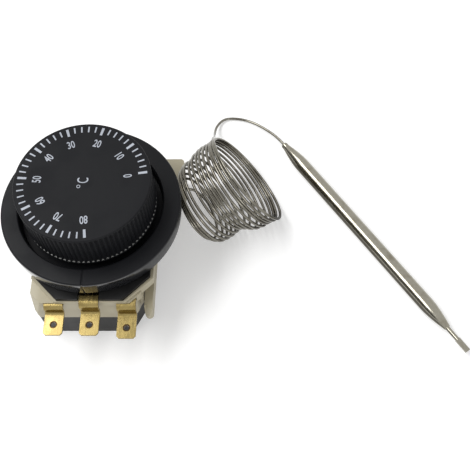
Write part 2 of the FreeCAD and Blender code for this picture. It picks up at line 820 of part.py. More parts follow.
def build_follower():
    """The keyed cup that the spindle's thread moves up and down."""
    cup = revolved("follower_cup", [
        ("0", "0"),
        ("follower_radius", "0"),
        ("follower_radius", "follower_height"),
        ("follower_inside", "follower_height"),
        ("follower_inside", "follower_floor"),
        ("0", "follower_floor"),
    ], z="sizes.follower_bottom")
    key = box("follower_key_bar", "sizes.follower_key", "1.4", "2.4", "-sizes.follower_key / 2",
              "sizes.follower_radius - 0.4", "sizes.bush_bottom + 0.6")
    return fuse("setting_follower", cup, key)


# Switch: leaf, pin, blade and contacts


def build_leaf():
    """The setting leaf: from its foot on the right wall it slopes down to the middle."""
    thick, level = size("leaf_thick"), size("leaf_bottom") + size("leaf_thick") / 2
    wall = size("body_offset") + size("room_half")
    rise = size("bush_bottom") - 1.0
    points = [
        V(0, size("follower_radius") + 0.6, level),
        V(0, -size("follower_radius") - 1.0, level),
        V(0, -wall + 2.2, rise),
        V(0, -wall + thick / 2 + 0.05, rise),
        V(0, -wall + thick / 2 + 0.05, size("chamber_floor") + 1.6),
    ]
    shape = strip(points, [0.8] * (len(points) - 2), size("leaf_width"), thick)
    shape.rotate(V(0, 0, 0), V(0, 0, 1), 90)
    return coded("setting_leaf", shape)


def build_pin():
    foot = "sizes.capsule_lift + sizes.capsule_height + 0.6 + sizes.leaf_gap"
    tall = f"sizes.blade_bottom - sizes.pin_gap - ({foot})"
    body = cylinder("pin_body", "sizes.pin_radius", f"{tall} - 0.5", z=foot)
    tip = cone("pin_tip", "sizes.pin_radius", "sizes.pin_radius - 0.5", "0.5",
               z="sizes.blade_bottom - sizes.pin_gap - 0.5")
    return fuse("push_pin", body, tip)


def build_blade():
    """The snap blade: a thin strip with a window and a hole at its root."""
    long = "sizes.blade_hinge + sizes.blade_tail + sizes.blade_reach + 2.4"
    start = "-sizes.blade_hinge - sizes.blade_tail"
    sheet_metal = box("blade_sheet", "sizes.blade_width", long, "sizes.blade_thick",
                      "-sizes.blade_width / 2", start, "sizes.blade_bottom")
    root = cylinder("blade_root_hole", "1.25", "sizes.blade_thick", "0", "-sizes.blade_hinge",
                    "sizes.blade_bottom")
    window = box("blade_window", "sizes.blade_width / 3", "sizes.blade_hinge / 2",
                 "sizes.blade_thick", "-sizes.blade_width / 6", "-sizes.blade_hinge * 0.78",
                 "sizes.blade_bottom")
    seat = cylinder("blade_contact_hole", "sizes.contact_radius / 2", "sizes.blade_thick", "0",
                    "sizes.blade_reach", "sizes.blade_bottom")
    return cut("snap_blade", sheet_metal, root, window, seat)


def build_moving_contact():
    low = cylinder("moving_contact_low", "sizes.contact_radius", "sizes.contact_head", "0",
                   "sizes.blade_reach", "sizes.blade_bottom - sizes.contact_head")
    stem = cylinder("moving_contact_stem", "sizes.contact_radius / 2", "sizes.blade_thick", "0",
                    "sizes.blade_reach", "sizes.blade_bottom")
    high = cylinder("moving_contact_high", "sizes.contact_radius", "sizes.contact_head", "0",
                    "sizes.blade_reach", "sizes.blade_top")
    return fuse("moving_contact", low, stem, high)


def contact_levels():
    """Undersides of the two arms that carry the fixed contacts."""
    travel = size("pin_stroke") * (size("blade_hinge") + size("blade_reach")) / size("blade_hinge")
    head, gap = size("contact_head"), size("contact_gap")
    low_face = size("blade_bottom") - head - gap
    high_face = size("blade_top") + head + travel + gap
    return low_face - head - size("tab_thick"), high_face + head


def build_fixed_contact(name, upper):
    low, high = contact_levels()
    head = size("contact_head")
    level = high - head if upper else low + size("tab_thick")
    disc = Part.makeCylinder(size("contact_radius"), head, V(0, size("blade_reach"), level))
    return coded(name, disc)


def terminal_path(x_name, inner):
    """The side view of a terminal from its inner end to its tip, in the YZ plane."""
    thick = size("tab_thick")
    outside = -size("body_front") - size("tab_stand_off") - thick / 2
    crossing = size("plate_bottom") - (0 if x_name == "middle" else size("slot_drop"))
    tab = size("plate_bottom") - size(f"{x_name}_drop")
    tip = outside - size(f"{x_name}_reach")
    inside = -size("room_front") + thick / 2 + 0.4
    return [
        V(0, inner[0], inner[1]),
        V(0, inside, inner[1]),
        V(0, inside, crossing),
        V(0, outside, crossing),
        V(0, outside, tab),
        V(0, tip, tab),
    ]


def build_terminal(side, inner_y, inner_z, arm_level=None):
    """A terminal: a bent strip, with an arm across to the contact on the outer two."""
    thick, width = size("tab_thick"), size("tab_width")
    x = size("tab_offset") + {"left": -1, "middle": 0, "right": 1}[side] * size("tab_pitch")
    points = terminal_path(side, (inner_y, inner_z))
    shape = strip(points, [size("tab_inner_bend")] * 2 + [size("tab_bend")] * 2, width, thick)
    shape.translate(V(x, 0, 0))
    if arm_level is not None:
        reach = size("blade_reach")
        near, far = sorted((x, -math.copysign(size("contact_radius") + 0.6, x)))
        near = near - width / 2 if near == x else near
        far = far + width / 2 if far == x else far
        arm = Part.makeBox(far - near, 5.0, thick, V(near, reach - 2.5, arm_level))
        shape = shape.fuse(arm).removeSplitter()
    tip, hole_y = points[-1], points[-1].y + size("tab_hole_inset")
    hole = Part.makeCylinder(size("tab_hole"), thick * 3, V(x, hole_y, tip.z - thick * 1.5))
    corner = size("tab_corner")
    wedges = [] if arm_level is None else [pillar_clearance(x)]
    for sign in (-1, 1):
        edge = x + sign * width / 2
        outline = [V(edge, tip.y, 0), V(edge - sign * corner, tip.y, 0), V(edge, tip.y + corner, 0)]
        face = Part.Face(Part.makePolygon(outline + outline[:1]))
        face.translate(V(0, 0, tip.z - thick))
        wedges.append(face.extrude(V(0, 0, thick * 2)))
    return coded(f"terminal_{side}", shape.cut([hole, *wedges]))


def pillar_clearance(x):
    """The waste on the outer side of a terminal's inner arm, beside the rivet pillars."""
    side = math.copysign(1, x)
    inner = size("rivet_across") - size("pillar_radius") - 0.3
    low = size("body_offset") + side * inner
    near, far = sorted((low, low + side * 8))
    start = -size("blade_hinge") - 3
    return Part.makeBox(far - near, 50, 20, V(near, start, size("parting")))


def build_blade_rivet():
    """The rivet that holds the blade's root on the middle terminal."""
    thick = size("tab_thick")
    strip_bottom = size("strip_top") - thick
    y = -size("blade_hinge")
    shank = Part.makeCylinder(1.0, thick + size("blade_thick") + 0.3, V(0, y, strip_bottom))
    head = Part.makeCylinder(1.9, 0.7, V(0, y, size("blade_top") + 0.1))
    foot = Part.makeCylinder(1.7, 0.6, V(0, y, strip_bottom - 0.6))
    return coded("blade_rivet", shank.fuse([head, foot]).removeSplitter())


def build_terminals():
    thick = size("tab_thick")
    low, high = contact_levels()
    reach = size("blade_reach") + 2.5
    build_terminal("left", reach, high + thick / 2, high)
    build_terminal("right", reach, low + thick / 2, low)
    build_terminal("middle", -size("blade_hinge") + 2.6, size("strip_top") - thick / 2)
    middle = doc.getObject("terminal_middle")
    hole = Part.makeCylinder(1.0, 3, V(0, -size("blade_hinge"), size("strip_top") - 2))
    middle.Shape = middle.Shape.cut(hole)


# Diaphragm capsule, calibration screw and rivets


def build_capsule():
    return revolved("diaphragm_capsule", [
        ("0", "0"),
        ("capsule_shoulder", "0"),
        ("capsule_shoulder", "capsule_rim_low"),
        ("capsule_radius", "capsule_rim_low"),
        ("capsule_radius", "capsule_rim_high"),
        ("capsule_shoulder", "capsule_rim_high"),
        ("capsule_shoulder", "capsule_height"),
        ("capsule_button", "capsule_valley_high"),
        ("capsule_button", "capsule_button_top"),
        ("0", "capsule_button_top"),
    ], z="sizes.capsule_lift")


def build_capsule_stud():
    """The stud under the capsule, which sits in the boss of the tray's floor."""
    shank = cylinder("stud_shank", "sizes.stud_foot_radius",
                     "sizes.capsule_lift - sizes.stud_foot_skin", z="sizes.stud_foot_skin")
    slot = box("stud_slot", "12", "0.8", "0.6", "-6", "-0.4", "sizes.stud_foot_skin")
    return cut("capsule_stud", shank, slot)


def build_rivets():
    """The four rivets that clamp plate, housing and tray together."""
    low = "0.2"
    long = "sizes.plate_top - 0.2"
    shanks = rivet_cylinders("rivet_shank", "sizes.rivet_radius", long, low)
    feet = rivet_cylinders("rivet_foot", "sizes.rivet_head", "sizes.rivet_head_height", low)
    return fuse("housing_rivets", *shanks, *feet)


# Capillary tube, coil and bulb

# Where the free tube turns, from the coil to the bulb, and how the bulb lies.
FREE_RUN = [
    V(47.4, 25.6, 31.8),
    V(44.9, 29.6, 29.0),
    V(42.3, 33.6, 23.6),
    V(40.3, 38.0, 17.0),
    V(39.1, 42.8, 10.6),
    V(38.5, 48.4, 4.8),
    V(38.9, 54.2, 1.7),
    V(41.8, 58.6, 0.9),
    V(47.4, 59.3, 0.8),
    V(53.4, 57.0, 0.9),
    V(58.4, 53.1, 1.6),
    V(63.0, 48.6, 2.5),
]
BULB_START = V(66.0, 45.2, 2.7)
BULB_AZIMUTH = -54.8

# The coil's turns stand upright on the floor. Each pair gives a turn's far side and near side in
# plan, from the narrow end at the hood to the wide end, where the turns fan out.
COIL_TURNS = [
    ((28.9, 25.2), (31.6, 6.2)),
    ((31.6, 27.8), (37.0, -0.6)),
    ((34.6, 30.4), (43.4, -4.4)),
    ((36.4, 32.2), (50.2, -3.8)),
    ((38.6, 33.4), (56.6, -0.4)),
    ((42.4, 31.4), (64.4, 4.4)),
]
COIL_SIDES = 28


def standing_turn(far, near):
    """A many-sided round outline that stands on Z = 0 between two points in plan."""
    far, near = V(*far, 0), V(*near, 0)
    radius = (far - near).Length / 2
    across, middle = (far - near).normalize(), (far + near) * 0.5
    points = []
    for i in range(COIL_SIDES):
        turn = 2 * math.pi * i / COIL_SIDES
        points.append(middle + across * (radius * math.cos(turn))
                      + V(0, 0, radius * (1 + math.sin(turn))))
    return Part.makePolygon(points + points[:1])


def build_coil():
    """One closed solid with the outer shape of the loose turns."""
    rings = [standing_turn(far, near) for far, near in COIL_TURNS]
    return coded("capillary_coil", Part.makeLoft(rings, True, True))


def lead_points():
    """The held stretch from the capsule's rim through the hood to the coil's narrow face."""
    far, near = (V(*point, 0) for point in COIL_TURNS[0])
    across = (far - near).normalize()
    ahead = V(across.y, -across.x, 0)
    level = V(0, 0, size("capsule_lift") + size("capsule_height") / 2)
    end = (far + near) * 0.5 + across * 6.6 + level
    corner = end - ahead * 7.0
    start = level + (corner - level).normalize() * (size("capsule_radius") - 0.1)
    return [start, corner, end]


def lead_shape(radius):
    points = lead_points()
    return tube(points, open_radii(points), radius)


def build_lead():
    return coded("capillary_lead", lead_shape(size("tube_radius")))


def build_free_run():
    points = FREE_RUN + [BULB_START]
    radii = open_radii(points)
    shape = tube(points, radii, size("tube_radius"))
    long = bent_path(points, radii).Length
    print("free run radii", [round(r, 1) for r in radii], "length", round(long, 1))
    share = shape.Volume / (long * 2 * math.sqrt(2) * size("tube_radius") ** 2)
    print("volume share", round(share, 4))
    return coded("capillary_tube", shape)


def bulb_frame(thing):
    """Lays a turned piece along the bulb's direction."""
    turn = FreeCAD.Rotation(V(0, 0, 1), BULB_AZIMUTH) * FreeCAD.Rotation(V(0, 1, 0), 90)
    thing.Placement = FreeCAD.Placement(BULB_START, turn)
    return thing


def build_bulb():
    body = revolved("sensor_bulb", [
        ("0", "0"),
        ("bulb_neck", "0"),
        ("bulb_tip", "bulb_ease"),
        ("bulb_tip", "bulb_collar"),
        ("bulb_waist", "bulb_step"),
        ("bulb_radius", "bulb_shoulder"),
        ("bulb_radius", "bulb_far_shoulder"),
        ("bulb_waist", "bulb_far_step"),
        ("bulb_tail_radius", "bulb_length"),
        ("0", "bulb_length"),
    ])
    return bulb_frame(body)


def build_tail():
    """The fill tube at the bulb's far end, pinched flat and sealed."""
    body = cylinder("tail_round", "sizes.tail_radius", "sizes.tail_length - 5")
    place_z = "sizes.bulb_length"
    body.setExpression("Placement.Base.z", place_z)
    pinch = box("tail_pinch", "sizes.tail_radius * 0.9", "sizes.tail_radius * 2.3", "5.2",
                "-sizes.tail_radius * 0.45", "-sizes.tail_radius * 1.15",
                "sizes.bulb_length + sizes.tail_length - 5.2")
    joined = fuse("tail_joined", body, pinch)
    doc.recompute()
    tail = coded("sealed_tail", joined.Shape)
    return bulb_frame(tail)


build_base()
build_housing()
build_plate()
build_bezel()
build_bezel_screws()
build_knob()
build_knob_spring()
build_spindle()
build_clip()
build_bush()
build_follower()
build_leaf()
build_pin()
build_blade()
build_moving_contact()
build_fixed_contact("contact_upper", True)
build_fixed_contact("contact_lower", False)
build_terminals()
build_blade_rivet()
build_capsule()
build_capsule_stud()
build_rivets()
build_coil()
build_lead()
build_free_run()
build_bulb()
build_tail()
doc.recompute()

NODES = [
    "base_cover", "switch_housing", "mounting_plate", "bezel", "bezel_screws", "knob",
    "knob_spring_ring", "spindle", "spindle_clip", "spindle_bush", "setting_follower",
    "setting_leaf", "push_pin", "snap_blade", "moving_contact", "contact_upper",
    "contact_lower", "terminal_left", "terminal_middle", "terminal_right", "blade_rivet",
    "diaphragm_capsule", "capsule_stud", "housing_rivets",
    "capillary_lead", "capillary_coil", "capillary_tube", "sensor_bulb", "sealed_tail",
]

for thing in doc.Objects:
    if "Invalid" in thing.State or "Error" in thing.State:
        raise RuntimeError(f"{thing.Name} failed: {thing.State}")
os.makedirs("parts", exist_ok=True)
for name in NODES:
    thing = doc.getObject(name)
    thing.Label = name
    if thing.Shape.isNull() or not thing.Shape.isValid() or not thing.Shape.Solids:
        raise RuntimeError(f"{name} has no valid shape")
    thing.Shape.exportStep(f"parts/{name}.step")
    print(name, len(thing.Shape.Solids), round(thing.Shape.Volume, 2))
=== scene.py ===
"""Dressed model of a capillary temperature switch, laid out as a Blender add-on and run as a script.

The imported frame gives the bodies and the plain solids, in metres, with the spindle on the Z axis.
"""

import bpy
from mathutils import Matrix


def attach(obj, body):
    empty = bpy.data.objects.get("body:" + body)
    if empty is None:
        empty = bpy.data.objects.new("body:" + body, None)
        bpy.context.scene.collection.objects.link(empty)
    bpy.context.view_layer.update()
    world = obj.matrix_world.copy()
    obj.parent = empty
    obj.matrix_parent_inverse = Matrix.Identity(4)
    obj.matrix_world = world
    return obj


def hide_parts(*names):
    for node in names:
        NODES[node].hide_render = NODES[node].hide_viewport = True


bl_info = {
    "name": "Capillary temperature switch",
    "version": (1, 0, 0),
    "blender": (4, 5, 0),
    "location": "View3D > Sidebar > Switch",
    "description": "Dresses the packed solids of a capillary temperature switch",
    "category": "Add Mesh",
}

import math

import bmesh
import bpy
import numpy as np
from mathutils import Matrix, Vector

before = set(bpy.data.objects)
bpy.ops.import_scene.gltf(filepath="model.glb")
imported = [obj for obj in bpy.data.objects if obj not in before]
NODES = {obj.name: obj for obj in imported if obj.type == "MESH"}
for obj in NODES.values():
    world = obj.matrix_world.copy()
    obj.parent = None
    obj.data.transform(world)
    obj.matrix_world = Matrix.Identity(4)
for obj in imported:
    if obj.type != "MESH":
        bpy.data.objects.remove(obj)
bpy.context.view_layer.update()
MM = 0.001


# Sizes and colours that a user would change


def length(name, description, millimetres):
    return bpy.props.FloatProperty(
        name=name, description=description, default=millimetres * MM, min=0.0, unit="LENGTH",
        precision=5)


def tint(name, description, colour):
    return bpy.props.FloatVectorProperty(
        name=name, description=description, default=colour, size=3, min=0.0, max=1.0,
        subtype="COLOR")


class SwitchSizes(bpy.types.PropertyGroup):
    """Sizes of the dressed pieces."""

    knob_radius: length("Knob radius", "Radius over the knob's ribs", 22.2)
    rib_depth: length("Rib depth", "How deep the grooves between the ribs are", 0.55)
    rib_count: bpy.props.IntProperty(
        name="Ribs", description="Number of ribs round the knob", default=88, min=8)
    tick_radius: length("Tick radius", "Outer radius of the ring of ticks", 20.85)
    long_tick: length("Long tick", "Length of the tick at each ten", 2.9)
    short_tick: length("Short tick", "Length of the ticks between", 2.2)
    digit_height: length("Digit height", "Height of the printed digits", 2.85)
    bezel_radius: length("Bezel radius", "Outer radius of the bezel", 30.2)
    bezel_opening: length("Bezel opening", "Radius of the bezel's recess", 24.2)
    tube_diameter: length("Tube diameter", "Outer diameter of the capillary tube", 1.0)
    bulb_radius: length("Bulb radius", "Radius of the bulb between its shoulders", 2.7)
    soft_edge: length("Moulded edge", "Width of the rounding on moulded edges", 0.3)
    sheet_edge: length("Sheet edge", "Width of the rounding on sheet edges", 0.1)


class SwitchColours(bpy.types.PropertyGroup):
    """Colours of the finishes, as linear values."""

    charcoal: tint("Knob plastic", "Matte plastic of knob and bezel", (0.0068, 0.0072, 0.0086))
    ivory: tint("Housing plastic", "Ivory moulded plastic", (0.42, 0.38, 0.27))
    tray: tint("Tray plastic", "Dark plastic of the base", (0.017, 0.0165, 0.015))
    ink: tint("Print", "White ink on the knob", (0.44, 0.47, 0.53))
    brass: tint("Brass", "Rolled brass of the terminals", (0.33, 0.255, 0.1))
    steel: tint("Steel", "Drawn steel of tube and bulb", (0.33, 0.315, 0.265))
    plated: tint("Plated steel", "Zinc plated small parts", (0.60, 0.61, 0.63))
    blacked: tint("Black steel", "Blackened mounting plate", (0.005, 0.005, 0.0052))
    floor: tint("Floor", "Pale floor of the stage", (0.86, 0.86, 0.86))


def sizes():
    return bpy.context.scene.switch_sizes


def colours():
    return bpy.context.scene.switch_colours


# Meshes from whole arrays


def add_object(name, vertices, faces, body, slot, finish):
    """A mesh object at the origin that rides on a body and has one finish."""
    mesh = bpy.data.meshes.new(name)
    mesh.from_pydata(vertices.tolist(), [], faces)
    mesh.update()
    return settle(bpy.data.objects.new(name, mesh), body, finish)


def settle(piece, body, finish, sharp=35.0):
    """Links a piece, shades it smooth up to an angle, and gives it its finish and its body."""
    if piece.name not in bpy.context.scene.collection.all_objects:
        bpy.context.scene.collection.objects.link(piece)
    if piece.type == "MESH":
        piece.data.shade_smooth()
        piece.data.set_sharp_from_angle(angle=math.radians(sharp))
    piece.data.materials.clear()
    piece.data.materials.append(finish)
    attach(piece, body)
    return piece


def ring_faces(rows, columns):
    """Quads between neighbouring rings, each ring closed on itself."""
    i, j = np.meshgrid(np.arange(rows - 1), np.arange(columns), indexing="ij")
    k = (j + 1) % columns
    return np.stack([i * columns + j, i * columns + k, (i + 1) * columns + k,
                     (i + 1) * columns + j], axis=-1).reshape(-1, 4)


def closed_stack(rings):
    """Vertices and faces of rings joined in order, with a fan of triangles at both ends.

    The point of ring i at place j is rings[i, j]. Each end's fan meets at the ring's mean point.
    The faces are turned so that the enclosed volume is positive.
    """
    rows, columns, _ = rings.shape
    vertices = np.concatenate([rings.reshape(-1, 3), rings[0].mean(axis=0)[None],
                               rings[-1].mean(axis=0)[None]])
    first, last = rows * columns, rows * columns + 1
    j = np.arange(columns)
    k = (j + 1) % columns
    start = np.stack([k, j, np.full(columns, first)], axis=-1)
    stop = np.stack([j, k, np.full(columns, last)], axis=-1)
    stop[:, :2] += (rows - 1) * columns
    quads = ring_faces(rows, columns)
    return turned_out(vertices, quads, np.concatenate([start, stop]))


def closed_loop(rings):
    """Vertices and faces of rings whose last row joins the first, for a piece with a bore."""
    rows, columns, _ = rings.shape
    looped = ring_faces(rows + 1, columns) % (rows * columns)
    return turned_out(rings.reshape(-1, 3), looped, np.zeros((0, 3), int))


def turned_out(vertices, quads, triangles):
    """Reverses every face where the sum of signed tetrahedra is negative."""
    halves = np.concatenate([quads[:, [0, 1, 2]], quads[:, [0, 2, 3]], triangles])
    a, b, c = (vertices[halves[:, n]] for n in range(3))
    if np.einsum("ij,ij->i", a, np.cross(b, c)).sum() < 0:
        quads, triangles = quads[:, ::-1], triangles[:, ::-1]
    return vertices, quads.tolist() + triangles.tolist()


def rounded(corners, radius, steps=4):
    """A profile through the corners, where each inner corner becomes a quadratic curve.

    The curve leaves a corner's runs at the given reach and is (1-t)^2 A + 2t(1-t) B + t^2 C.
    """
    points = [np.array(corners[0], float)]
    t = np.linspace(0, 1, steps + 1)[:, None]
    for before, corner, after in zip(corners, corners[1:], corners[2:]):
        before, corner, after = (np.array(p, float) for p in (before, corner, after))
        back, ahead = before - corner, after - corner
        reach = min(radius, 0.45 * np.linalg.norm(back), 0.45 * np.linalg.norm(ahead))
        a = corner + back / np.linalg.norm(back) * reach
        c = corner + ahead / np.linalg.norm(ahead) * reach
        points.extend((1 - t) ** 2 * a + 2 * t * (1 - t) * corner + t ** 2 * c)
    points.append(np.array(corners[-1], float))
    return np.array(points)


def turned(profile, columns=96):
    """Rings of a turned piece: (r cos a, r sin a, z) for each profile point and angle a."""
    a = np.linspace(0, 2 * math.pi, columns, endpoint=False)
    r, z = profile[:, 0:1], profile[:, 1:2]
    return np.stack([r * np.cos(a), r * np.sin(a), z + 0 * a], axis=-1) * MM


# Shader groups: each puts out colours, masks or heights only


def new_group(name, inputs, outputs):
    """An empty node group with the named sockets; returns the group and its two end nodes."""
    group = bpy.data.node_groups.new(name, "ShaderNodeTree")
    kinds = {"v": "NodeSocketVector", "f": "NodeSocketFloat", "c": "NodeSocketColor"}
    for label, kind in inputs:
        group.interface.new_socket(name=label, in_out="INPUT", socket_type=kinds[kind])
    for label, kind in outputs:
        group.interface.new_socket(name=label, in_out="OUTPUT", socket_type=kinds[kind])
    return group, group.nodes.new("NodeGroupInput"), group.nodes.new("NodeGroupOutput")


def add(tree, kind, **settings):
    node = tree.nodes.new(kind)
    for key, value in settings.items():
        setattr(node, key, value)
    return node


def noise(tree, vector, scale, detail=3.0, rough=0.55):
    node = add(tree, "ShaderNodeTexNoise")
    node.inputs["Detail"].default_value = detail
    node.inputs["Roughness"].default_value = rough
    tree.links.new(vector, node.inputs["Vector"])
    if isinstance(scale, (int, float)):
        node.inputs["Scale"].default_value = scale
    else:
        tree.links.new(scale, node.inputs["Scale"])
    return node.outputs["Fac"]


def mapped(tree, value, low, high, to_low, to_high):
    """The value carried from one range to another, smooth at both ends."""
    node = add(tree, "ShaderNodeMapRange", interpolation_type="SMOOTHSTEP")
    tree.links.new(value, node.inputs["Value"])
    for label, number in (("From Min", low), ("From Max", high), ("To Min", to_low),
                          ("To Max", to_high)):
        if isinstance(number, (int, float)):
            node.inputs[label].default_value = number
        else:
            tree.links.new(number, node.inputs[label])
    return node.outputs["Result"]


def reckon(tree, operation, *terms):
    node = add(tree, "ShaderNodeMath", operation=operation)
    for socket, term in zip(node.inputs, terms):
        if isinstance(term, (int, float)):
            socket.default_value = term
        else:
            tree.links.new(term, socket)
    return node.outputs[0]


def blended(tree, mask, first, second):
    node = add(tree, "ShaderNodeMix", data_type="RGBA")
    tree.links.new(mask, node.inputs["Factor"])
    for socket, colour in ((node.inputs[6], first), (node.inputs[7], second)):
        if isinstance(colour, (tuple, list)):
            socket.default_value = (*colour, 1.0)
        else:
            tree.links.new(colour, socket)
    return node.outputs[2]


def moulded_grain():
    """Fine mould texture with faint clouding and scuffs: colour, roughness mask and height."""
    group, ins, outs = new_group(
        "moulded_grain",
        [("Vector", "v"), ("Colour", "c"), ("Worn Colour", "c"), ("Grain Scale", "f"),
         ("Wear", "f")],
        [("Colour", "c"), ("Sheen Mask", "f"), ("Height", "f")])
    cloud = noise(group, ins.outputs["Vector"], 90.0, 2.0)
    grain = noise(group, ins.outputs["Vector"], ins.outputs["Grain Scale"], 2.0, 0.6)
    fleck = noise(group, ins.outputs["Vector"], 1500.0, 1.0)
    scuff = mapped(group, fleck, 0.66, 0.78, 0.0, 1.0)
    soft = mapped(group, cloud, 0.35, 0.7, 0.0, 1.0)
    mask = reckon(group, "MULTIPLY", reckon(group, "ADD", reckon(group, "MULTIPLY", soft, 0.55),
                                            scuff), ins.outputs["Wear"])
    group.links.new(blended(group, mask, ins.outputs["Colour"], ins.outputs["Worn Colour"]),
                    outs.inputs["Colour"])
    group.links.new(soft, outs.inputs["Sheen Mask"])
    group.links.new(grain, outs.inputs["Height"])
    return group


def drawn_metal():
    """Metal with drawing lines along one way and tarnish in clouds: colour, mask and height."""
    group, ins, outs = new_group(
        "drawn_metal",
        [("Vector", "v"), ("Stretch", "v"), ("Colour", "c"), ("Tarnish Colour", "c"),
         ("Tarnish", "f")],
        [("Colour", "c"), ("Roughness", "f"), ("Height", "f")])
    long = add(group, "ShaderNodeVectorMath", operation="MULTIPLY")
    group.links.new(ins.outputs["Vector"], long.inputs[0])
    group.links.new(ins.outputs["Stretch"], long.inputs[1])
    lines = noise(group, long.outputs[0], 1.0, 4.0, 0.65)
    cloud = noise(group, ins.outputs["Vector"], 240.0, 3.0, 0.6)
    streak = mapped(group, lines, 0.3, 0.7, 0.0, 1.0)
    stain = reckon(group, "MAXIMUM", mapped(group, cloud, 0.42, 0.75, 0.0, 1.0),
                   reckon(group, "MULTIPLY", streak, 0.45))
    mask = reckon(group, "MULTIPLY", stain, ins.outputs["Tarnish"])
    group.links.new(blended(group, mask, ins.outputs["Colour"], ins.outputs["Tarnish Colour"]),
                    outs.inputs["Colour"])
    group.links.new(streak, outs.inputs["Roughness"])
    group.links.new(lines, outs.inputs["Height"])
    return group


def placed(tree, group, **values):
    """Puts a shader group into a material with its own values."""
    node = add(tree, "ShaderNodeGroup")
    node.node_tree = group
    for label, value in values.items():
        socket = node.inputs[label.replace("_", " ")]
        if isinstance(value, (int, float)):
            socket.default_value = value
        elif len(value) == 3 and socket.type == "RGBA":
            socket.default_value = (*value, 1.0)
        else:
            socket.default_value = value
    return node


def start_material(name):
    material = bpy.data.materials.new(name)
    material.use_nodes = True
    tree = material.node_tree
    shader = tree.nodes["Principled BSDF"]
    where = add(tree, "ShaderNodeTexCoord")
    return material, tree, shader, where.outputs["Object"]


def raise_bump(tree, shader, height, strength, distance):
    bump = add(tree, "ShaderNodeBump")
    bump.inputs["Strength"].default_value = strength
    bump.inputs["Distance"].default_value = distance
    tree.links.new(height, bump.inputs["Height"])
    tree.links.new(bump.outputs["Normal"], shader.inputs["Normal"])


def plastic(name, colour, worn, rough=(0.45, 0.6), grain=2600.0, wear=0.5, bump=0.25,
            specular=0.5):
    """Moulded plastic: the grain group gives its colour, its bump and its change of gloss."""
    material, tree, shader, where = start_material(name)
    group = placed(tree, GROUPS["moulded_grain"], Colour=tuple(colour), Worn_Colour=tuple(worn),
                   Grain_Scale=grain, Wear=wear)
    tree.links.new(where, group.inputs["Vector"])
    tree.links.new(group.outputs["Colour"], shader.inputs["Base Color"])
    tree.links.new(mapped(tree, group.outputs["Sheen Mask"], 0.0, 1.0, *rough),
                   shader.inputs["Roughness"])
    shader.inputs["Specular IOR Level"].default_value = specular
    raise_bump(tree, shader, group.outputs["Height"], bump, 0.00004)
    return material


def metal(name, colour, tarnish_colour, stretch, rough=(0.16, 0.3), tarnish=0.5, bump=0.15):
    """Rolled or drawn metal: lines along one way, tarnish in clouds."""
    material, tree, shader, where = start_material(name)
    group = placed(tree, GROUPS["drawn_metal"], Stretch=stretch, Colour=tuple(colour),
                   Tarnish_Colour=tuple(tarnish_colour), Tarnish=tarnish)
    tree.links.new(where, group.inputs["Vector"])
    tree.links.new(group.outputs["Colour"], shader.inputs["Base Color"])
    tree.links.new(mapped(tree, group.outputs["Roughness"], 0.0, 1.0, *rough),
                   shader.inputs["Roughness"])
    shader.inputs["Metallic"].default_value = 1.0
    raise_bump(tree, shader, group.outputs["Height"], bump, 0.00003)
    return material


def cylinder_place(tree):
    """The object coordinates' parts and the distance from the Z axis."""
    where = add(tree, "ShaderNodeTexCoord")
    parts = add(tree, "ShaderNodeSeparateXYZ")
    tree.links.new(where.outputs["Object"], parts.inputs[0])
    r = reckon(tree, "SQRT", reckon(
        tree, "ADD", reckon(tree, "POWER", parts.outputs["X"], 2.0),
        reckon(tree, "POWER", parts.outputs["Y"], 2.0)))
    return parts.outputs, r


def tinted_where(tree, mask, colour):
    """Lays a colour over a finish's own colour where the mask is one."""
    socket = tree.nodes["Principled BSDF"].inputs["Base Color"]
    own = socket.links[0].from_socket
    tree.links.new(blended(tree, mask, own, colour), socket)


# Filled by the finishes operator, which runs first.
GROUPS = {}
FINISHES = {}


def darker(colour, share):
    return tuple(c * share for c in colour)


def mix(colour, other, share):
    return tuple(a * (1 - share) + b * share for a, b in zip(colour, other))


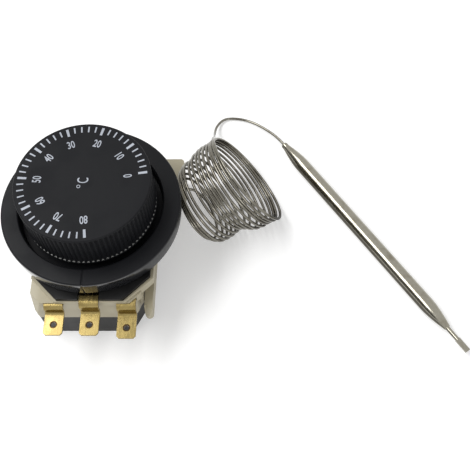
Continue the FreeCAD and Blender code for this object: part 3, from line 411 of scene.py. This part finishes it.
class SWITCH_OT_finishes(bpy.types.Operator):
    """Makes the shader groups and every finish."""

    bl_idname = "switch.finishes"
    bl_label = "Finishes"

    def execute(self, context):
        c = colours()
        GROUPS["moulded_grain"] = moulded_grain()
        GROUPS["drawn_metal"] = drawn_metal()
        charcoal, ivory, steel, brass = (tuple(v) for v in (c.charcoal, c.ivory, c.steel, c.brass))
        FINISHES.update(
            knob=plastic("knob_matte_plastic", charcoal, mix(charcoal, (0.03, 0.03, 0.034), 0.25),
                         rough=(0.5, 0.62), grain=3200.0, wear=0.4, bump=0.3, specular=0.13),
            bezel=plastic("bezel_plastic", charcoal,
                          mix(charcoal, (0.025, 0.025, 0.03), 0.2), rough=(0.42, 0.5),
                          wear=0.35, specular=0.13),
            ivory=plastic("ivory_moulding", ivory, mix(ivory, (0.34, 0.30, 0.22), 0.45),
                          rough=(0.42, 0.6), grain=1800.0, wear=0.55, bump=0.3),
            tray=plastic("tray_moulding", tuple(c.tray), mix(c.tray, (0.12, 0.12, 0.13), 0.25),
                         rough=(0.4, 0.55), grain=1800.0, wear=0.5, bump=0.3, specular=0.22),
            ink=plastic("white_ink", tuple(c.ink), darker(c.ink, 0.72), rough=(0.5, 0.7),
                        grain=5200.0, wear=0.8, bump=0.2),
            ceramic=plastic("glazed_ceramic", (0.72, 0.71, 0.68), (0.6, 0.58, 0.54),
                            rough=(0.25, 0.4), grain=900.0, wear=0.3, bump=0.1),
            brass=metal("rolled_brass", brass, (0.16, 0.11, 0.035),
                        (900.0, 160.0, 160.0), rough=(0.17, 0.3), tarnish=0.58, bump=0.2),
            # The tube's steel is painted darker than the bulb's: painted shade for the shade among
            # the coil's close turns.
            tube=metal("drawn_tube_steel", darker(steel, 0.62), mix(steel, (0.06, 0.045, 0.035), 0.8),
                       (260.0, 260.0, 260.0), rough=(0.08, 0.17), tarnish=0.7),
            bulb=metal("polished_bulb_steel", steel, mix(steel, (0.16, 0.135, 0.09), 0.75),
                       (1100.0, 1100.0, 2600.0), rough=(0.1, 0.18), tarnish=0.75, bump=0.1),
            plated=metal("zinc_plated_steel", tuple(c.plated), (0.42, 0.42, 0.40),
                         (300.0, 300.0, 300.0), rough=(0.28, 0.42), tarnish=0.5),
            spring=metal("spring_strip", (0.46, 0.46, 0.47), (0.3, 0.28, 0.26),
                         (1200.0, 160.0, 160.0), rough=(0.25, 0.38), tarnish=0.4),
            silver=metal("silver_contact", (0.82, 0.82, 0.80), (0.5, 0.48, 0.44),
                         (400.0, 400.0, 400.0), rough=(0.2, 0.35), tarnish=0.5),
            blacked=plastic("blacked_steel", tuple(c.blacked), (0.016, 0.016, 0.015),
                            rough=(0.35, 0.5), grain=2200.0, wear=0.4, bump=0.2, specular=0.16),
        )
        return {"FINISHED"}


# Solids taken from the frame


def softened(node, body, finish, width, segments=2):
    """A merged copy of a solid whose sharp edges get a narrow rounding; it replaces the solid."""
    mesh = NODES[node].data.copy()
    mesh.name = f"{node}_dressed"
    shape = bmesh.new()
    shape.from_mesh(mesh)
    bmesh.ops.remove_doubles(shape, verts=shape.verts, dist=1e-6)
    bmesh.ops.dissolve_limit(shape, angle_limit=math.radians(0.5), verts=shape.verts,
                             edges=shape.edges)
    shape.to_mesh(mesh)
    shape.free()
    piece = bpy.data.objects.new(f"{node}_dressed", mesh)
    bevel = piece.modifiers.new("edge", "BEVEL")
    bevel.width = width
    bevel.segments = segments
    bevel.limit_method = "ANGLE"
    bevel.angle_limit = math.radians(40)
    bevel.use_clamp_overlap = True
    bevel.harden_normals = True
    settle(piece, body, finish)
    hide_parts(node)


# The finish of each solid, also where a dressed piece stands for it.
PLAIN_NODES = {
    "bezel_screws": "plated", "knob_spring_ring": "spring", "spindle": "plated",
    "spindle_clip": "spring", "spindle_bush": "brass", "setting_follower": "brass",
    "setting_leaf": "spring", "push_pin": "ceramic", "snap_blade": "spring",
    "moving_contact": "silver", "contact_upper": "silver", "contact_lower": "silver",
    "blade_rivet": "brass", "diaphragm_capsule": "plated", "capsule_stud": "plated",
    "housing_rivets": "plated", "capillary_lead": "tube", "sealed_tail": "bulb",
    "capillary_coil": "tube", "capillary_tube": "tube", "sensor_bulb": "bulb",
    "knob": "knob", "bezel": "bezel", "switch_housing": "ivory", "base_cover": "tray",
    "mounting_plate": "blacked", "terminal_left": "brass", "terminal_middle": "brass",
    "terminal_right": "brass",
}


class SWITCH_OT_mechanism(bpy.types.Operator):
    """Gives every solid its finish."""

    bl_idname = "switch.mechanism"
    bl_label = "Mechanism"

    def execute(self, context):
        for node, finish in PLAIN_NODES.items():
            piece = NODES[node]
            if not piece.material_slots:
                piece.data.materials.append(FINISHES[finish])
            for socket in piece.material_slots:
                socket.material = FINISHES[finish]
        return {"FINISHED"}


class SWITCH_OT_housing(bpy.types.Operator):
    """Housing, tray and mounting plate with rounded edges."""

    bl_idname = "switch.housing"
    bl_label = "Housing"

    def execute(self, context):
        s = sizes()
        softened("switch_housing", "frame", FINISHES["ivory"], s.soft_edge)
        softened("base_cover", "frame", FINISHES["tray"], s.soft_edge)
        softened("mounting_plate", "frame", FINISHES["blacked"], s.sheet_edge)
        return {"FINISHED"}


# Knob and its print

# Heights in millimetres: the crown, the print on it and how deep the print is sunk.
KNOB_TOP = 48.16
PRINT_TOP = 48.19
PRINT_SUNK = 0.02
# How far the crests of the ribs stay inside the knob's radius.
RIB_INSET = 0.02
# Where the grooves of the ribs end in little steps, from below: fading in and fading out.
STEP_FROM, STEP_TO = (34.02, 34.06), (34.15, 34.20)
# A pale colour laid on the steps as a painted glint, where the ledges would catch the light.
PAINTED_GLINT_COLOUR = (0.32, 0.32, 0.31)
# The printed scale: its range, its angles in degrees and its sizes in millimetres.
SCALE_END, SCALE_STEP, LABEL_STEP = 80, 2, 10
SCALE_START_ANGLE, SCALE_SWEEP = 8.2, 270.0
LONG_TICK_WIDTH, SHORT_TICK_WIDTH = 0.86, 0.5
LABEL_RADIUS = 14.55
UNIT_HEIGHT = 3.6
# How far each printed number stands beside its tick, in degrees, from 0 to 80.
LABEL_SHIFTS = (-1.9, -3.0, 0.0, 0.5, 0.5, 1.0, 0.3, 0.5, -0.2)


def knob_rings(radius, depth, ribs, columns_per_rib=14):
    """Rings of the knob: a turned profile whose side is r(z, a) = R - d g(a) w(z).

    g is ((1 + cos(ribs a)) / 2) to the power 1.4, the groove between two ribs, and w fades from
    0 at the foot's ledge and at the lip to 1 between them. The profile goes from the crown's
    middle over the lip, down the side, under the foot and up the inner wall to the boss.
    """
    top = KNOB_TOP
    side = np.array([top - 0.62, top - 0.75, top - 0.95, top - 1.25, top - 4, top - 7, top - 10,
                     top - 12.5, 34.5, 34.3, 34.16, 34.06, 33.75, 33.45])
    weight = np.array([0, 0.15, 0.6, 1, 1, 1, 1, 1, 1, 1, 0.9, 0, 0, 0])
    lip = rounded([(0.8, top), (radius - 0.3, top), (radius - 0.02, top - 0.36),
                   (radius, top - 0.62)], 0.16)
    crown = np.array([(0.8, top), (4, top), (9, top), (14, top), (18, top)])
    foot = rounded([(radius, 33.45), (radius - 0.1, 33.24), (radius - 2.2, 33.24),
                    (radius - 2.4, 46.0), (5.4, 46.0), (5.1, 33.9), (3.4, 33.9), (3.4, 45.3),
                    (0.5, 45.3)], 0.2, 2)
    outer = np.concatenate([crown, lip[1:]])
    profile = np.concatenate([outer, np.stack([np.full(len(side), radius), side], -1)[1:],
                              foot[1:]])
    groove = np.concatenate([np.zeros(len(outer)), weight[1:], np.zeros(len(foot) - 1)])
    columns = ribs * columns_per_rib
    a = np.linspace(0, 2 * math.pi, columns, endpoint=False)
    g = ((1 + np.cos(ribs * a)) / 2) ** 1.4
    r = profile[:, 0:1] - depth * groove[:, None] * g
    return np.stack([r * np.cos(a), r * np.sin(a), profile[:, 1:2] + 0 * a], -1) * MM


def mark_angle(value):
    """The knob's mark for a printed value, in radians from +X."""
    return math.radians(SCALE_START_ANGLE + SCALE_SWEEP * value / SCALE_END)


def tick(value, outer, inner, width):
    """Eight corners of one printed tick, a thin bar that widens a little outwards."""
    a = mark_angle(value)
    out, across = np.array([math.cos(a), math.sin(a)]), np.array([-math.sin(a), math.cos(a)])
    plan = [out * inner - across * width * 0.45, out * inner + across * width * 0.45,
            out * outer + across * width * 0.5, out * outer - across * width * 0.5]
    low, high = (KNOB_TOP - PRINT_SUNK) * MM, PRINT_TOP * MM
    return np.array([(*p, z) for z in (low, high) for p in plan])


BAR_FACES = np.array([[0, 1, 2, 3], [4, 7, 6, 5], [0, 4, 5, 1], [1, 5, 6, 2], [2, 6, 7, 3],
                      [3, 7, 4, 0]])


def lettering(text, height, squeeze, weight, centre, turn):
    """Vertices and faces of thin raised letters, made a mesh before they are placed."""
    curve = bpy.data.curves.new("lettering", "FONT")
    curve.body = text
    curve.align_x = "CENTER"
    curve.size = 1.0
    curve.offset = weight
    curve.extrude = 0.02
    curve.resolution_u = 4
    holder = bpy.data.objects.new("lettering", curve)
    bpy.context.scene.collection.objects.link(holder)
    bpy.context.view_layer.update()
    mesh = bpy.data.meshes.new_from_object(
        holder.evaluated_get(bpy.context.evaluated_depsgraph_get()))
    points = np.empty(len(mesh.vertices) * 3)
    mesh.vertices.foreach_get("co", points)
    points = points.reshape(-1, 3)
    faces = [list(p.vertices) for p in mesh.polygons]
    bpy.data.objects.remove(holder)
    bpy.data.curves.remove(curve)
    bpy.data.meshes.remove(mesh)
    low, high = points[:, :2].min(axis=0), points[:, :2].max(axis=0)
    flat = points[:, :2] - (low + high) / 2
    flat = flat * height / (high[1] - low[1]) * np.array([squeeze, 1.0])
    c, s = math.cos(turn), math.sin(turn)
    flat = flat @ np.array([[c, s], [-s, c]]) + np.array(centre)
    z = np.where(points[:, 2] > 0, PRINT_TOP, KNOB_TOP - PRINT_SUNK) * MM
    return np.column_stack([flat, z]), faces


class SWITCH_OT_knob(bpy.types.Operator):
    """The ribbed knob and its white scale."""

    bl_idname = "switch.knob"
    bl_label = "Knob"

    def execute(self, context):
        s = sizes()
        rings = knob_rings(s.knob_radius / MM - RIB_INSET, s.rib_depth / MM, s.rib_count)
        self.pale_ledge(s.knob_radius)
        knob = add_object("knob_ribbed", *closed_stack(rings), "dial", "knob_plastic",
                          FINISHES["knob"])
        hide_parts("knob")
        self.scale(s)
        return {"FINISHED"}

    def pale_ledge(self, radius):
        """Paints a glint on the little steps where the grooves end: lightens them, told by height and
        distance.
        """
        tree = FINISHES["knob"].node_tree
        parts, r = cylinder_place(tree)
        low = mapped(tree, parts["Z"], *(z * MM for z in STEP_FROM), 0.0, 1.0)
        high = mapped(tree, parts["Z"], *(z * MM for z in STEP_TO), 1.0, 0.0)
        inside = mapped(tree, r, radius - 0.16 * MM, radius - 0.1 * MM, 1.0, 0.0)
        step = reckon(tree, "MULTIPLY", reckon(tree, "MULTIPLY", low, high), inside)
        tinted_where(tree, step, PAINTED_GLINT_COLOUR)

    def scale(self, s):
        """Ticks, numbers and unit as one thin raised mesh."""
        vertices, faces, count = [], [], 0

        def take(points, polygons):
            nonlocal count
            vertices.append(points)
            faces.extend([[v + count for v in p] for p in polygons])
            count += len(points)

        for value in range(0, SCALE_END + 1, SCALE_STEP):
            big = value % LABEL_STEP == 0
            inner = s.tick_radius - (s.long_tick if big else s.short_tick)
            width = LONG_TICK_WIDTH if big else SHORT_TICK_WIDTH
            take(tick(value, s.tick_radius, inner, width * MM), BAR_FACES.tolist())
        for value, shift in zip(range(0, SCALE_END + 1, LABEL_STEP), LABEL_SHIFTS):
            a = mark_angle(value) + math.radians(shift)
            centre = np.array([math.cos(a), math.sin(a)]) * LABEL_RADIUS * MM
            take(*lettering(str(value), s.digit_height, squeeze=0.66, weight=0.012,
                            centre=centre, turn=a - math.pi / 2))
        take(*lettering("C", UNIT_HEIGHT * MM, squeeze=0.62, weight=0.0,
                        centre=(0.3 * MM, 0.0), turn=math.pi / 2))
        take(*degree_ring(centre=(-0.9 * MM, -2.25 * MM), radius=0.62 * MM, stroke=0.2 * MM))
        add_object("dial_print", np.concatenate(vertices), faces, "dial", None,
                   FINISHES["ink"])


def degree_ring(centre, radius, stroke, columns=20):
    """A flat ring: (c + r cos a, r sin a) at two radii and two heights."""
    profile = np.array([(radius - stroke, KNOB_TOP * MM), (radius, KNOB_TOP * MM),
                        (radius, PRINT_TOP * MM), (radius - stroke, PRINT_TOP * MM)]) / MM
    profile[:2, 1] -= PRINT_SUNK
    rings = turned(profile, columns)
    rings[..., :2] += np.array(centre)
    return closed_loop(rings)


# Bezel

# Heights and radii in millimetres, and the index groove's depth and half width.
BEZEL_FOOT, BEZEL_TOP = 27.37, 34.0
RECESS_FLOOR = 29.25
BEZEL_BORE = 6.35
INDEX_DEPTH, INDEX_HALF_WIDTH = 0.25, 0.26
# The polished wall: how far in from the rim and how far below the top it fades in, and the
# stretch of X over which it gets duller, with the share of gloss that is left.
WALL_FADE, TOP_FADE = (0.48, 0.38), (0.35, 0.55)
DULL_FROM, DULL_TO, DULL_SHARE = 12.0, 21.0, 0.25


def bezel_rings(radius, opening):
    """Rings of the bezel with its index groove.

    The groove sinks the top and the wall by d exp(-(x / w)^4), where x is the distance from the
    plane of the index line, so the columns stand close together there.
    """
    profile = rounded([
        (BEZEL_BORE, BEZEL_FOOT), (radius - 0.4, BEZEL_FOOT), (radius, BEZEL_TOP - 0.7),
        (radius - 0.45, BEZEL_TOP), (opening + 0.35, BEZEL_TOP), (opening, BEZEL_TOP - 0.3),
        (opening - 0.25, RECESS_FLOOR), (BEZEL_BORE, RECESS_FLOOR), (BEZEL_BORE, 27.9)],
        0.4, 4)
    far = np.linspace(4.0, 356.0, 177)
    near = np.array([-3, -2, -1.4, -1, -0.75, -0.6, -0.5, -0.4, -0.3, -0.2, -0.1, 0, 0.1, 0.2,
                     0.3, 0.4, 0.5, 0.6, 0.75, 1, 1.4, 2, 3])
    a = np.radians(np.concatenate([near, far]) - 90.0)
    r, z = profile[:, 0:1] + 0 * a, profile[:, 1:2] + 0 * a
    x = r * np.cos(a)
    line = INDEX_DEPTH * np.exp(-(x / INDEX_HALF_WIDTH) ** 4) * (np.sin(a) < 0)
    on_top = (profile[:, 1] > BEZEL_TOP - 0.4)[:, None] & (r > opening - 0.05)
    on_wall = (profile[:, 0] > radius - 0.55)[:, None] & (z > 27.6) & ~on_top
    z = np.where(on_top, z - line, z)
    r = np.where(on_wall | on_top & (r > radius - 0.45), r - line, r)
    return np.stack([r * np.cos(a), r * np.sin(a), z], -1) * MM


class SWITCH_OT_bezel(bpy.types.Operator):
    """The round bezel, matte on top and glossy on its wall."""

    bl_idname = "switch.bezel"
    bl_label = "Bezel"

    def execute(self, context):
        s = sizes()
        rings = bezel_rings(s.bezel_radius / MM, s.bezel_opening / MM)
        bezel = add_object("bezel_ring", *closed_loop(rings), "frame", "bezel_plastic",
                           self.finish(s.bezel_radius))
        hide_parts("bezel")
        return {"FINISHED"}

    def finish(self, radius):
        """The bezel's plastic with an outer wall that is polished, less so on its right."""
        material = FINISHES["bezel"]
        tree = material.node_tree
        shader = tree.nodes["Principled BSDF"]
        parts, r = cylinder_place(tree)
        wall = mapped(tree, r, *(radius - fade * MM for fade in WALL_FADE), 0.0, 1.0)
        below = mapped(tree, parts["Z"], *((BEZEL_TOP - fade) * MM for fade in TOP_FADE),
                       0.0, 1.0)
        dull = mapped(tree, parts["X"], DULL_FROM * MM, DULL_TO * MM, 1.0, DULL_SHARE)
        gloss = reckon(tree, "MULTIPLY", reckon(tree, "MULTIPLY", wall, below), dull)
        tree.links.new(gloss, shader.inputs["Coat Weight"])
        shader.inputs["Coat Roughness"].default_value = 0.05
        shader.inputs["Coat IOR"].default_value = 1.7
        return material


# Terminals

# In millimetres: from the blade's tip to the middle of its hole, and how far from there the
# painted shade round the hole fades out.
HOLE_FROM_TIP = 3.6
RIM_FADE = (1.22, 1.34)
# Dark brown painted round each hole, a painted shade that stands in for the rim's shading.
RIM_SHADE_COLOUR = (0.05, 0.03, 0.012)


class SWITCH_OT_terminals(bpy.types.Operator):
    """The three brass blades with soft edges and painted shade in a ring round each hole."""

    bl_idname = "switch.terminals"
    bl_label = "Terminals"

    def execute(self, context):
        for side in ("left", "middle", "right"):
            finish = FINISHES["brass"].copy()
            finish.name = f"rolled_brass_{side}"
            self.dull_rim(finish.node_tree, self.hole(f"terminal_{side}"))
            softened(f"terminal_{side}", "frame", finish, sizes().sheet_edge)
        return {"FINISHED"}

    def hole(self, node):
        """The middle of the blade's hole in plan, halfway across the blade."""
        mesh = NODES[node].data
        points = np.empty(len(mesh.vertices) * 3)
        mesh.vertices.foreach_get("co", points)
        points = points.reshape(-1, 3)
        tip = points[:, 1].min()
        blade = points[points[:, 1] < tip + MM]
        return ((blade[:, 0].min() + blade[:, 0].max()) / 2, tip + HOLE_FROM_TIP * MM)

    def dull_rim(self, tree, middle):
        """Darkens the brass in a ring round the middle, as painted shade for the hole's rim."""
        where = add(tree, "ShaderNodeTexCoord")
        away = add(tree, "ShaderNodeVectorMath", operation="DISTANCE")
        level = add(tree, "ShaderNodeVectorMath", operation="MULTIPLY")
        level.inputs[1].default_value = (1.0, 1.0, 0.0)
        tree.links.new(where.outputs["Object"], level.inputs[0])
        tree.links.new(level.outputs[0], away.inputs[0])
        away.inputs[1].default_value = (*middle, 0.0)
        rim = mapped(tree, away.outputs["Value"], *(d * MM for d in RIM_FADE), 1.0, 0.0)
        tinted_where(tree, rim, RIM_SHADE_COLOUR)


# Tube and bulb

# The bulb: where it starts and how long it is, in millimetres, and its level direction.
BULB_START = (65.6, 44.8, 2.7)
BULB_AZIMUTH = math.radians(-54.44)
BULB_END = 94.3
# Far side and near side of each leaning turn in plan, in millimetres, from the hood outwards.
TURNS = [
    ((31.1, 21.7), (36.1, -0.3)), ((31.4, 23.1), (37.9, -1.8)), ((31.4, 24.4), (39.8, -2.9)),
    ((32.0, 26.1), (40.9, -3.0)), ((32.5, 27.5), (43.2, -1.9)), ((33.5, 28.6), (44.0, -1.2)),
    ((35.0, 30.3), (46.6, 1.2)), ((36.3, 32.0), (47.6, 1.4)), ((38.1, 33.2), (50.5, 0.6)),
    ((39.2, 33.8), (51.9, 0.3)), ((40.5, 34.5), (54.0, 0.6)), ((41.5, 35.4), (55.8, 1.8)),
    ((42.2, 36.2), (57.4, 2.7)), ((42.8, 36.8), (57.8, 2.9)), ((43.3, 37.0), (59.9, 3.5)),
    ((43.5, 37.2), (61.2, 4.1)),
]
LEAD_IN = [(29.32, 22.23, 6.7), (31.6, 22.4, 5.9), (33.8, 21.2, 4.4)]
FREE_RUN = [
    (39.2, 32.8, 24.4), (39.4, 37.8, 17.4), (38.9, 42.8, 10.6), (38.5, 48.4, 4.8),
    (38.9, 54.4, 1.7), (42.0, 58.9, 0.9), (47.8, 58.9, 0.8), (53.4, 57.0, 0.9),
    (58.4, 53.1, 1.6), (63.0, 48.6, 2.5), BULB_START,
]
LEAN = math.radians(31)
POINTS_A_TURN = 14
# The first turn starts and the last turn stops part of the way round.
FIRST_POINT, LAST_POINT = 2, 12
# Height of the tube's middle line where it rests on the floor.
RESTING = 0.55


def turn_point(first, second, share):
    """A point of a leaning turn that grows from one pair of sides to the next.

    With c the middle, u the way from near to far, v the level way square to it, towards the
    housing, r half the distance and s the lean, it is c + u r cos a + v r sin s sin a in plan
    and r cos s (1 + sin a) above the floor, where a falls by a whole turn.
    """
    a = -2 * math.pi * share
    far, near = (Vector(p).lerp(Vector(q), share) for p, q in zip(first, second))
    half = (far - near) / 2
    aside = Vector((-half.y, half.x))
    plan = (far + near) / 2 + half * math.cos(a) + aside * math.sin(LEAN) * math.sin(a)
    return (plan.x, plan.y, RESTING + half.length * math.cos(LEAN) * (1 + math.sin(a)))


def tube_points():
    """The tube's points from the hood to the bulb, in millimetres."""
    points = list(LEAD_IN)
    last_turn = len(TURNS) - 2
    for i, (first, second) in enumerate(zip(TURNS, TURNS[1:])):
        for k in range(POINTS_A_TURN):
            if i == 0 and k < FIRST_POINT or i == last_turn and k > LAST_POINT:
                continue
            points.append(turn_point(first, second, k / POINTS_A_TURN))
    return points + FREE_RUN


def bulb_ways():
    """The bulb's level direction, and the level way square to it that leads off the housing."""
    c, s = math.cos(BULB_AZIMUTH), math.sin(BULB_AZIMUTH)
    return np.array([c, s, 0.0]), np.array([-s, c, 0.0])


def bulb_rings(radius, columns=72):
    """Rings of the bulb: start + s d + r (cos a e + sin a k) for each profile point (r, s).

    d is the bulb's level direction, e the level way square to it and k upwards.
    """
    profile = rounded([
        (0.05, 0.0), (1.0, 0.0), (1.3, 0.45), (1.3, 1.7), (radius - 0.62, 5.6), (radius, 10.2),
        (radius, BULB_END - 9.6), (radius - 0.55, BULB_END - 5.2), (1.15, BULB_END - 0.2),
        (1.0, BULB_END), (0.05, BULB_END)], 2.4, 6)
    along, aside = bulb_ways()
    up = np.array([0.0, 0.0, 1.0])
    a = np.linspace(0, 2 * math.pi, columns, endpoint=False)[None, :, None]
    r, s = profile[:, 0, None, None], profile[:, 1, None, None]
    return (np.array(BULB_START) + s * along + r * (np.cos(a) * aside + np.sin(a) * up)) * MM


class SWITCH_OT_bulb(bpy.types.Operator):
    """The straight bulb with its collar and swaged shoulders."""

    bl_idname = "switch.bulb"
    bl_label = "Bulb"

    def execute(self, context):
        bulb = add_object("bulb_swaged", *closed_stack(bulb_rings(sizes().bulb_radius / MM)),
                          "frame", "bright_steel", FINISHES["bulb"])
        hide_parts("sensor_bulb")
        return {"FINISHED"}


class SWITCH_OT_tube(bpy.types.Operator):
    """The capillary tube: out of the hood, round its leaning turns and on to the bulb."""

    bl_idname = "switch.tube"
    bl_label = "Capillary tube"

    def execute(self, context):
        points = tube_points()
        curve = bpy.data.curves.new("capillary", "CURVE")
        curve.dimensions = "3D"
        curve.bevel_depth = sizes().tube_diameter / 2
        curve.bevel_resolution = 3
        curve.resolution_u = 5
        curve.use_fill_caps = True
        spline = curve.splines.new("NURBS")
        spline.points.add(len(points) - 1)
        for held, point in zip(spline.points, points):
            held.co = (*(p * MM for p in point), 1.0)
        spline.order_u = 3
        spline.use_endpoint_u = True
        tube = settle(bpy.data.objects.new("capillary_wound", curve), "frame",
                      FINISHES["tube"])
        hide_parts("capillary_coil", "capillary_tube")
        return {"FINISHED"}


# Stage

# The camera: its place in millimetres, its right, up and backward ways, and its lens, whose
# focal length and frame are in pixels.
CAMERA_PLACE = (57.48, -135.29, 261.3)
CAMERA_AXES = ((0.9994, 0.0131, -0.0333), (0.0043, 0.8795, 0.4759), (0.0355, -0.4757, 0.8789))
FOCAL_PIXELS, FRAME_PIXELS = 800.0, 470.0
SENSOR_WIDTH = 36.0
# The middle of the object, at which the lamps are aimed, in metres.
LAMP_AIM = (0.04, 0.0, 0.015)
# The corners of a dark curtain on the left, in metres.
CURTAIN = [(-1.1, 0.55, 0.0), (-1.1, -1.2, 0.0), (-1.1, -1.2, 0.95), (-1.1, 0.55, 0.95)]
# The dark strip of floor between bulb and housing, in millimetres from the bulb's start: how
# far to the side of the bulb's middle line and how far along it.
STRIP_ASIDE = (-3.5, -22.0)
STRIP_ALONG = (-6.6, 97.5)
# The floor and the strip lie this far below the object, in metres.
FLOOR_DROP, STRIP_DROP = 0.00002, 0.00001
FLOOR_HALF = 1.6


class SWITCH_OT_stage(bpy.types.Operator):
    """Floor, soft lamps, pale world and camera."""

    bl_idname = "switch.stage"
    bl_label = "Stage"

    def execute(self, context):
        self.camera(context)
        self.floor()
        self.world(context)
        self.lamp("left_window", (-0.42, 0.05, 0.8), 0.95, 0.33, 6.2)
        self.lamp("front_softbox", (0.35, -0.8, 0.42), 0.3, 0.3, 1.2)
        self.dark_card("left_curtain", CURTAIN, 0.3)
        self.dark_card("floor_card", self.strip_corners(), 0.32)
        context.scene.view_settings.view_transform = "Standard"
        return {"FINISHED"}

    def camera(self, context):
        lens = bpy.data.cameras.new("camera")
        lens.sensor_width = SENSOR_WIDTH
        lens.lens = FOCAL_PIXELS / FRAME_PIXELS * SENSOR_WIDTH
        lens.clip_start = 0.01
        seat = bpy.data.objects.new("camera", lens)
        right, up, back = (Vector(axis).normalized() for axis in CAMERA_AXES)
        turn = Matrix((right, up, back)).transposed().to_4x4()
        seat.matrix_world = Matrix.Translation([p * MM for p in CAMERA_PLACE]) @ turn
        context.scene.collection.objects.link(seat)
        context.scene.camera = seat

    def strip_corners(self):
        """The corners of the dark strip of floor that lies along the whole bulb."""
        along, aside = bulb_ways()
        start = np.array([*BULB_START[:2], 0.0])
        (first, last), (near, far) = STRIP_ALONG, STRIP_ASIDE
        corners = [(start + s * along + d * aside) * MM for s, d in
                   ((first, near), (first, far), (last, far), (last, near))]
        return [(x, y, -STRIP_DROP) for x, y, _ in corners]

    def dark_card(self, name, corners, shade):
        """A flat backdrop that only polished surfaces see."""
        mesh = bpy.data.meshes.new(name)
        mesh.from_pydata(corners, [], [[0, 1, 2, 3]])
        card = bpy.data.objects.new(name, mesh)
        bpy.context.scene.collection.objects.link(card)
        material, tree, shader, where = start_material(f"{name}_cloth")
        weave = blended(tree, noise(tree, where, 3.0), (shade,) * 3, (shade * 1.15,) * 3)
        tree.links.new(weave, shader.inputs["Base Color"])
        shader.inputs["Roughness"].default_value = 0.95
        shader.inputs["Specular IOR Level"].default_value = 0.0
        mesh.materials.append(material)
        card.visible_camera = False
        card.visible_diffuse = False
        card.visible_shadow = False
        card.visible_transmission = False

    def lamp(self, name, place, width, height, power):
        """A flat lamp that faces the object's middle."""
        light = bpy.data.lights.new(name, "AREA")
        light.shape = "RECTANGLE"
        light.size, light.size_y = width, height
        light.energy = power
        seat = bpy.data.objects.new(name, light)
        aim = Vector(LAMP_AIM) - Vector(place)
        seat.rotation_euler = aim.to_track_quat("-Z", "Y").to_euler()
        seat.location = place
        bpy.context.scene.collection.objects.link(seat)

    def seen_directly(self, tree):
        """One where a camera, glossy or transmission ray looks, nought elsewhere."""
        rays = add(tree, "ShaderNodeLightPath")
        seen = reckon(tree, "MAXIMUM", rays.outputs["Is Camera Ray"],
                      rays.outputs["Is Glossy Ray"])
        return reckon(tree, "MAXIMUM", seen, rays.outputs["Is Transmission Ray"])

    def floor(self):
        half = FLOOR_HALF
        corners = [(x, y, -FLOOR_DROP) for x, y in
                   ((-half, -half), (half, -half), (half, half), (-half, half))]
        mesh = bpy.data.meshes.new("floor")
        mesh.from_pydata(corners, [], [[0, 1, 2, 3]])
        floor = bpy.data.objects.new("floor", mesh)
        bpy.context.scene.collection.objects.link(floor)
        material, tree, shader, where = start_material("floor_paper")
        shade = blended(tree, mapped(tree, noise(tree, where, 40.0), 0.3, 0.7, 0.0, 1.0),
                        tuple(colours().floor), darker(colours().floor, 0.985))
        tree.links.new(shade, shader.inputs["Base Color"])
        shader.inputs["Roughness"].default_value = 0.9
        shader.inputs["Specular IOR Level"].default_value = 0.0
        shader.inputs["Emission Color"].default_value = (1.0, 1.0, 1.0, 1.0)
        lift = reckon(tree, "MULTIPLY", self.seen_directly(tree), 0.3)
        tree.links.new(lift, shader.inputs["Emission Strength"])
        mesh.materials.append(material)

    def world(self, context):
        world = bpy.data.worlds.new("pale_room")
        world.use_nodes = True
        tree = world.node_tree
        back = tree.nodes["Background"]
        back.inputs["Color"].default_value = (1.0, 1.0, 1.0, 1.0)
        strength = mapped(tree, self.seen_directly(tree), 0.0, 1.0, 0.5, 1.0)
        tree.links.new(strength, back.inputs["Strength"])
        context.scene.world = world


PIECES = (SWITCH_OT_finishes, SWITCH_OT_mechanism, SWITCH_OT_housing, SWITCH_OT_knob,
          SWITCH_OT_bezel, SWITCH_OT_terminals, SWITCH_OT_bulb, SWITCH_OT_tube, SWITCH_OT_stage)


class SWITCH_PT_panel(bpy.types.Panel):
    """Lists the pieces in the sidebar."""

    bl_idname = "SWITCH_PT_panel"
    bl_label = "Capillary switch"
    bl_space_type = "VIEW_3D"
    bl_region_type = "UI"
    bl_category = "Switch"

    def draw(self, context):
        for piece in PIECES:
            self.layout.operator(piece.bl_idname)
        for group in (context.scene.switch_sizes, context.scene.switch_colours):
            for key in group.__annotations__:
                self.layout.prop(group, key)


CLASSES = (SwitchSizes, SwitchColours, *PIECES, SWITCH_PT_panel)


def register():
    for made in CLASSES:
        bpy.utils.register_class(made)
    bpy.types.Scene.switch_sizes = bpy.props.PointerProperty(type=SwitchSizes)
    bpy.types.Scene.switch_colours = bpy.props.PointerProperty(type=SwitchColours)


def unregister():
    del bpy.types.Scene.switch_colours
    del bpy.types.Scene.switch_sizes
    for made in reversed(CLASSES):
        bpy.utils.unregister_class(made)


def main():
    register()
    for piece in PIECES:
        family, name = piece.bl_idname.split(".")
        getattr(getattr(bpy.ops, family), name)()
    bpy.context.view_layer.update()


if __name__ == "__main__":
    main()
